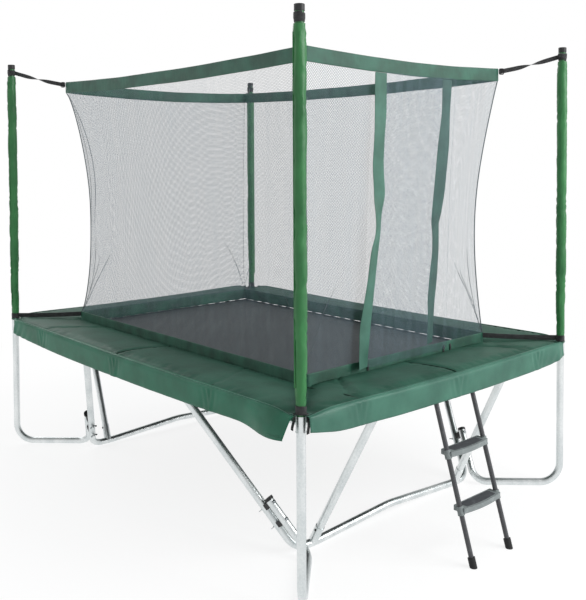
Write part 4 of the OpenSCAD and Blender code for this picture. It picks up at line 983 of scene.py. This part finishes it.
def net_point(side, run, v, off=0.0, low=net_foot, gap=hem_gap):
    """A point of the net at a run along a side and a share v of its height."""
    rise = min(1, max(0, v))
    pinch = pinch_at(side, v, run)
    reach = net_reach(side, v, run)
    u = max(-1, min(1, run / reach))
    d = reach * (1 - abs(u))
    pull = math.exp(-(d / 0.26) ** 2)
    swing = math.sin(math.pi * rise)
    # Folds run beside the free edge and fan out from the corners. All fade away from there.
    fold = 0.007 * math.sin(math.radians(2000 * d)) * math.exp(-d / 0.34) * swing
    corner = math.copysign(1, run) * (side + 1)
    for k in range(4):
        fan = (d + 0.02) / (0.10 + 0.11 * k)
        depth = 0.0035 * math.exp(-d / 0.30) * swing * (0.6 + 0.4 * math.sin(7 * v + k))
        fold += depth * math.sin(9 * fan + 3 * k + 5 * v * corner)
    slack = 0.006 * noise.noise(Vector((run * 2.2, v * 2.4, side * 5.3 + off * 90))) * swing
    out = square_to(side) - net_inset(v) - pinch * pull + fold + slack + off
    x, y = plan(side, run, out)
    return x, y, low + v * (band_low(u) - gap - low)


heights = [-0.005] + list(np.linspace(0, 1, 49)) + [1.005]


def net_sheet(name, side, ends, steps, off=lambda f: 0.0, low=net_foot, gap=hem_gap):
    """A net panel between the runs that ends(v) gives. Its turned hems lie a little further in."""
    rows = []
    for v in heights:
        a, b = ends(v)
        turned = 0.0004 * (v < 0 or v > 1)
        rows.append([net_point(side, a + (b - a) * i / steps, v, off(i / steps) - turned, low, gap)
                     for i in range(steps + 1)])
    piece = skin(name, rows)
    abs(ends(0.5)[1] - ends(0.5)[0]) + 0.06
    return piece


walls, door_left, door_right = [], -0.310, 0.372
for side, label in ((1, "right"), (2, "back"), (3, "left")):
    wall = net_sheet("net_panel_" + label, side, lambda v, k=side: (-net_reach(k, v, -1), net_reach(k, v)),
                     150 if side % 2 else 96)
    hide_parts("net_wall_" + label)
    walls.append(wall)
front = net_sheet("net_panel_front", 0, lambda v: (-net_reach(0, v, -1), door_left), 34)
door_side = net_sheet("net_panel_door_side", 0, lambda v: (door_right, net_reach(0, v)), 32)
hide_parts("net_wall_front")
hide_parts("net_wall_door_side")
dress_all(wall_net, "net_mesh", "frame", *walls[1:], front)
dress_all(painted_light_net, "net_mesh", "frame", walls[0], door_side)

# The panels' free edges are sewn together under a narrow dark tape at each corner.
tape_cloth, shader, place = start_finish("net_seam_tape")
cut = place.cut_map()
rib = cut.part(1).sine(0.004)
paint(shader, place.clouds(0.02, 3.0).mix("4B5558", "69757A"), 0.6 + rib * 0.2, rib, 0.0006)
tapes = []
for side in range(4):
    line = [net_point(side, net_reach(side, v), v) for v in np.linspace(0.0, 1.0, 50)]
    sx, sy = math.copysign(1, line[0][0]), math.copysign(1, line[0][1])
    tapes.append(strip("tape", line, [(sx * 0.0022, sy * 0.0022, 0)] * 50, 0.0011, 6))

# Where the straps pull, the net doubles over in sharp folds that run down and up from a corner.
# Each kind goes from one share of the height and distance from the free edge to another.
fold_kinds = {"top": (0.99, 0.40, 0.004, 0.026, 0.045), "low": (0.01, 0.27, 0.006, 0.180, -0.020),
              "side": (0.01, 0.34, 0.010, 0.085, 0.020)}
for side, end, folds in ((0, 1, "low side"), (1, -1, "low"), (1, 1, "low"), (2, 1, "top low"), (2, -1, "low"),
                         (3, -1, "top low side"), (3, 1, "low"), (0, -1, "low")):
    for kind in folds.split():
        v_from, v_to, d_from, d_to, bow = fold_kinds[kind]
        line = []
        for t in np.linspace(0, 1, 26):
            v = v_from + (v_to - v_from) * t
            d = d_from + (d_to - d_from) * t + bow * math.sin(math.pi * t)
            line.append(net_point(side, end * (net_reach(side, v, end) - d), v, 0.0012))
        thin = np.minimum(1, 4 * np.minimum(np.linspace(0.1, 1, 26), np.linspace(1, 0.05, 26)))
        tapes.append(strip("fold", line, [(*plan(side, 0.0021 * w, 0), 0) for w in thin], 0.0007, 6))
corner_tapes = join("net_seam_tapes", tapes)
dress_all(tape_cloth, "net_mesh", "frame", corner_tapes)

# ---------- Door flaps ----------
# Two overlapping net flaps close the doorway. The outer one is sewn on at the right and the
# inner one at the left, and a green band stiffens the free edge of each.


table_foot, table_high = 0.93, 1.53


def follow(v, spots):
    """A value given at these heights, smoothed a little between them."""
    z = table_foot + table_high * min(1, max(0, v))
    return sum(float(np.interp(z + d, *zip(*spots))) for d in (-0.03, -0.01, 0.01, 0.03)) / 4


outer_runs = [(0.96, -0.376), (1.14, -0.370), (1.24, -0.347), (1.39, -0.318), (1.55, -0.301), (1.65, -0.272),
              (1.73, -0.286), (1.83, -0.293), (1.98, -0.312), (2.14, -0.308), (2.24, -0.307), (2.43, -0.316)]
outer_twist = [(0.96, 0.27), (1.14, 0.14), (1.24, 0.27), (1.39, 0.39), (1.55, 0.40), (1.66, 0.56),
               (1.74, 0.39), (1.83, 0.07), (2.14, 0.08), (2.24, 0.0), (2.46, 0)]
inner_runs = [(0.94, 0.258), (1.08, 0.260), (1.19, 0.264), (1.33, 0.279), (1.47, 0.288), (1.63, 0.276),
              (1.81, 0.312), (1.98, 0.330), (2.09, 0.340), (2.43, 0.345)]
inner_twist = [(0.94, 0.38), (1.08, 0.36), (1.19, 0.24), (1.33, 0.2), (1.47, 0.27), (1.59, 0.3), (1.67, 0.14),
               (1.81, 0.0), (2.09, 0.0), (2.26, 0.2), (2.43, 0.12)]
outer_wide, inner_wide = 0.088, 0.100


view_slant = 0.89


def flap_edge(v, runs, twist, wide):
    """Where a flap's net ends. runs says where the slanting view shows its band's free edge."""
    turned = follow(v, twist)
    return follow(v, runs) + wide * (math.cos(turned) - view_slant * math.sin(turned))


def outer_edge(v):
    return flap_edge(v, outer_runs, outer_twist, outer_wide)


def inner_edge(v):
    return flap_edge(v, inner_runs, inner_twist, -inner_wide)


def outer_off(f):
    return 0.0034 + 0.0206 * ease((1 - f) * 9)


outer_foot, inner_foot, flap_gap, sewn_gap = 0.9071, 0.9384, 0.0030, 0.0004
outer_flap = net_sheet("door_flap_outer_net", 0, lambda v: (outer_edge(v), door_right - sewn_gap), 64,
                       outer_off, outer_foot, flap_gap)
inner_flap = net_sheet("door_flap_inner_net", 0, lambda v: (door_left + sewn_gap, inner_edge(v)), 58,
                       lambda f: 0.0, inner_foot, flap_gap)


# The band's cross-section: the share of its width, and its face's height.
flap_band_section = ((0, 0.0012), (0.03, 0.0024), (0.3, 0.0026), (0.7, 0.0026), (0.97, 0.0024), (1, 0.0012),
                     (0.97, -0.0004), (0.7, -0.0006), (0.3, -0.0006), (0.03, -0.0004))


def edge_band(name, edge, twist, wide, off, low):
    """A flat band sewn to a flap's free edge. It turns about that edge as twist says."""
    rows = []
    for v in np.linspace(0.0, 1.0, 90):
        turned = follow(v, twist)
        row = []
        for f, lift in flap_band_section:
            far = abs(wide) * f
            bow = 0.004 * math.sin(math.pi * f) * noise.noise(Vector((v * 9, wide * 40, 2.2)))
            run = edge(v) + math.copysign(far * math.cos(turned) - lift * math.sin(turned), wide)
            out = off + math.copysign(far * math.sin(turned), -wide) + lift * math.cos(turned) + bow
            row.append(net_point(0, run, v, out, low, flap_gap))
        rows.append(row)
    return skin(name, rows, around=True)


outer_band = edge_band("door_band_outer", outer_edge, outer_twist, -outer_wide, 0.024, outer_foot)
inner_band = edge_band("door_band_inner", inner_edge, inner_twist, inner_wide, 0.0, inner_foot)
door_band = band_cloth("green_band_door", "4F8271", "3C6B5B", outer_wide)
inner_cloth = band_cloth("green_band_inner", "3E6F5F", "2D5849", inner_wide)
outer_hinge, inner_hinge = (door_right, -1.24, 1.66), (door_left, -1.165, 1.66)
for piece, material, slot_name, door, hinge, turns_at in (
        (outer_flap, painted_light_net, "net_mesh", "door_outer", outer_hinge, 0.30),
        (outer_band, door_band, "green_band", "door_outer", outer_hinge, 0.30),
        (inner_flap, painted_light_net, "net_mesh", "door_inner", inner_hinge, -0.24),
        (inner_band, inner_cloth, "green_band", "door_inner", inner_hinge, -0.24)):
    cover(piece, material, slot_name)
    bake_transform(piece)
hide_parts("door_flap_outer")
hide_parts("door_flap_inner")

# ---------- Ladder ----------
# Two painted steel rails with moulded grey treads, rubber feet, and hooks bent over the front
# rail. A ribbed dark grip lies on each tread.

dress(moulded("grey_ladder_paint", "4C4D50", "5E6063", 0.26, 0.0010),
      "ladder_rail_left", "ladder_rail_right", "ladder_hooks")
dress(moulded("grey_tread_plastic", "8B9393", "A2AAAA", 0.48, 0.0014), "ladder_treads")
dress(moulded("black_rubber", "202122", "2F3133", 0.68, 0.0010), "ladder_feet")
ladder_x, tread_half, tread_deep, tread_bow, grip_half = -0.015, 0.150, 0.037, 0.016, 0.120
grips, tread_tops = [], (0.273, 0.533)
slope = Vector((0, -0.262, -0.850)).normalized()
for z in tread_tops:
    middle = -HY + slope.y * (RAIL - z) / -slope.z
    rows = []
    for j in range(49):
        t = j / 48
        rib = 0.0013 * (math.sin(math.pi * 8 * t) ** 2) ** 0.4 if 0 < j < 48 else -0.0005
        row = []
        for i in range(25):
            x = grip_half * (i / 12 - 1)
            bow = tread_bow * (1 - (x / tread_half) ** 2)
            front, back = middle - tread_deep + 0.008 + tread_bow - bow - 0.003, middle + tread_deep - 0.008
            rise = rib if 0 < i < 24 else -0.0005
            row.append((ladder_x + x, back + (front - back) * t, z + 0.0004 + rise))
        rows.append(row)
    grips.append(skin("grip", rows))
tread_grips = join("tread_grips", grips)
grip_plastic = moulded("dark_tread_grip", "4A4D51", "63676B", 0.6, 0.0012)
dress_all(grip_plastic, "grey_tread_plastic", "ladder", tread_grips)

# ---------- Ties and hooks ----------
# Elastic ties hold the pads' corners to the poles, and plastic hooks hold the net's bottom band
# down beside the door.

tie_r, tie_z, tail_out, tail_top, tail_drop = 0.0245, 0.8875, 0.036, 0.892, 0.075
ties = []
for sx, sy in CORNERS:
    line = []
    for i in range(25):
        a = 2 * math.pi * i / 24
        z = tie_z + 0.002 * math.sin(a * 2)
        line.append((sx * HX + tie_r * math.cos(a), sy * HY + tie_r * math.sin(a), z))
    ties.append(strip("tie", line, [(0, 0, 0.005)] * 25, 0.0010, 8))
    for a, b in ((tail_out, -0.006), (-0.006, tail_out)) if (sx, sy) == (-1, -1) else ():
        line = []
        for t in np.linspace(0, 1, 16):
            grow = 1 + (0.004 * math.sin(5 * t + a * 90) + 0.006 * t) / tail_out
            line.append((sx * (HX + a * grow), sy * (HY + b * grow), tail_top - (tail_drop + 0.4 * b) * t))
        flat = Vector((-sx * b, sy * a, 0)).normalized() * 0.0105
        ties.append(strip("tail", line, [tuple(flat)] * 16, 0.0010, 8))
hook_y, hook_top, hook_long = -1.177, 0.915, 0.036
for x, lean in ((-0.292, 0.2), (0.342, -0.15), (0.40, 0.1)):
    line = []
    for t in np.linspace(0, 1, 12):
        y = hook_y - 0.003 * math.sin(math.pi * t)
        line.append((x + lean * 0.02 * t, y, hook_top - hook_long * t))
    ties.append(strip("hook", line, [(0.0065, 0, 0)] * 12, 0.0022, 10))
corner_ties = join("pad_and_net_ties", ties)
dress_all(webbing, "black_webbing", "frame", corner_ties)
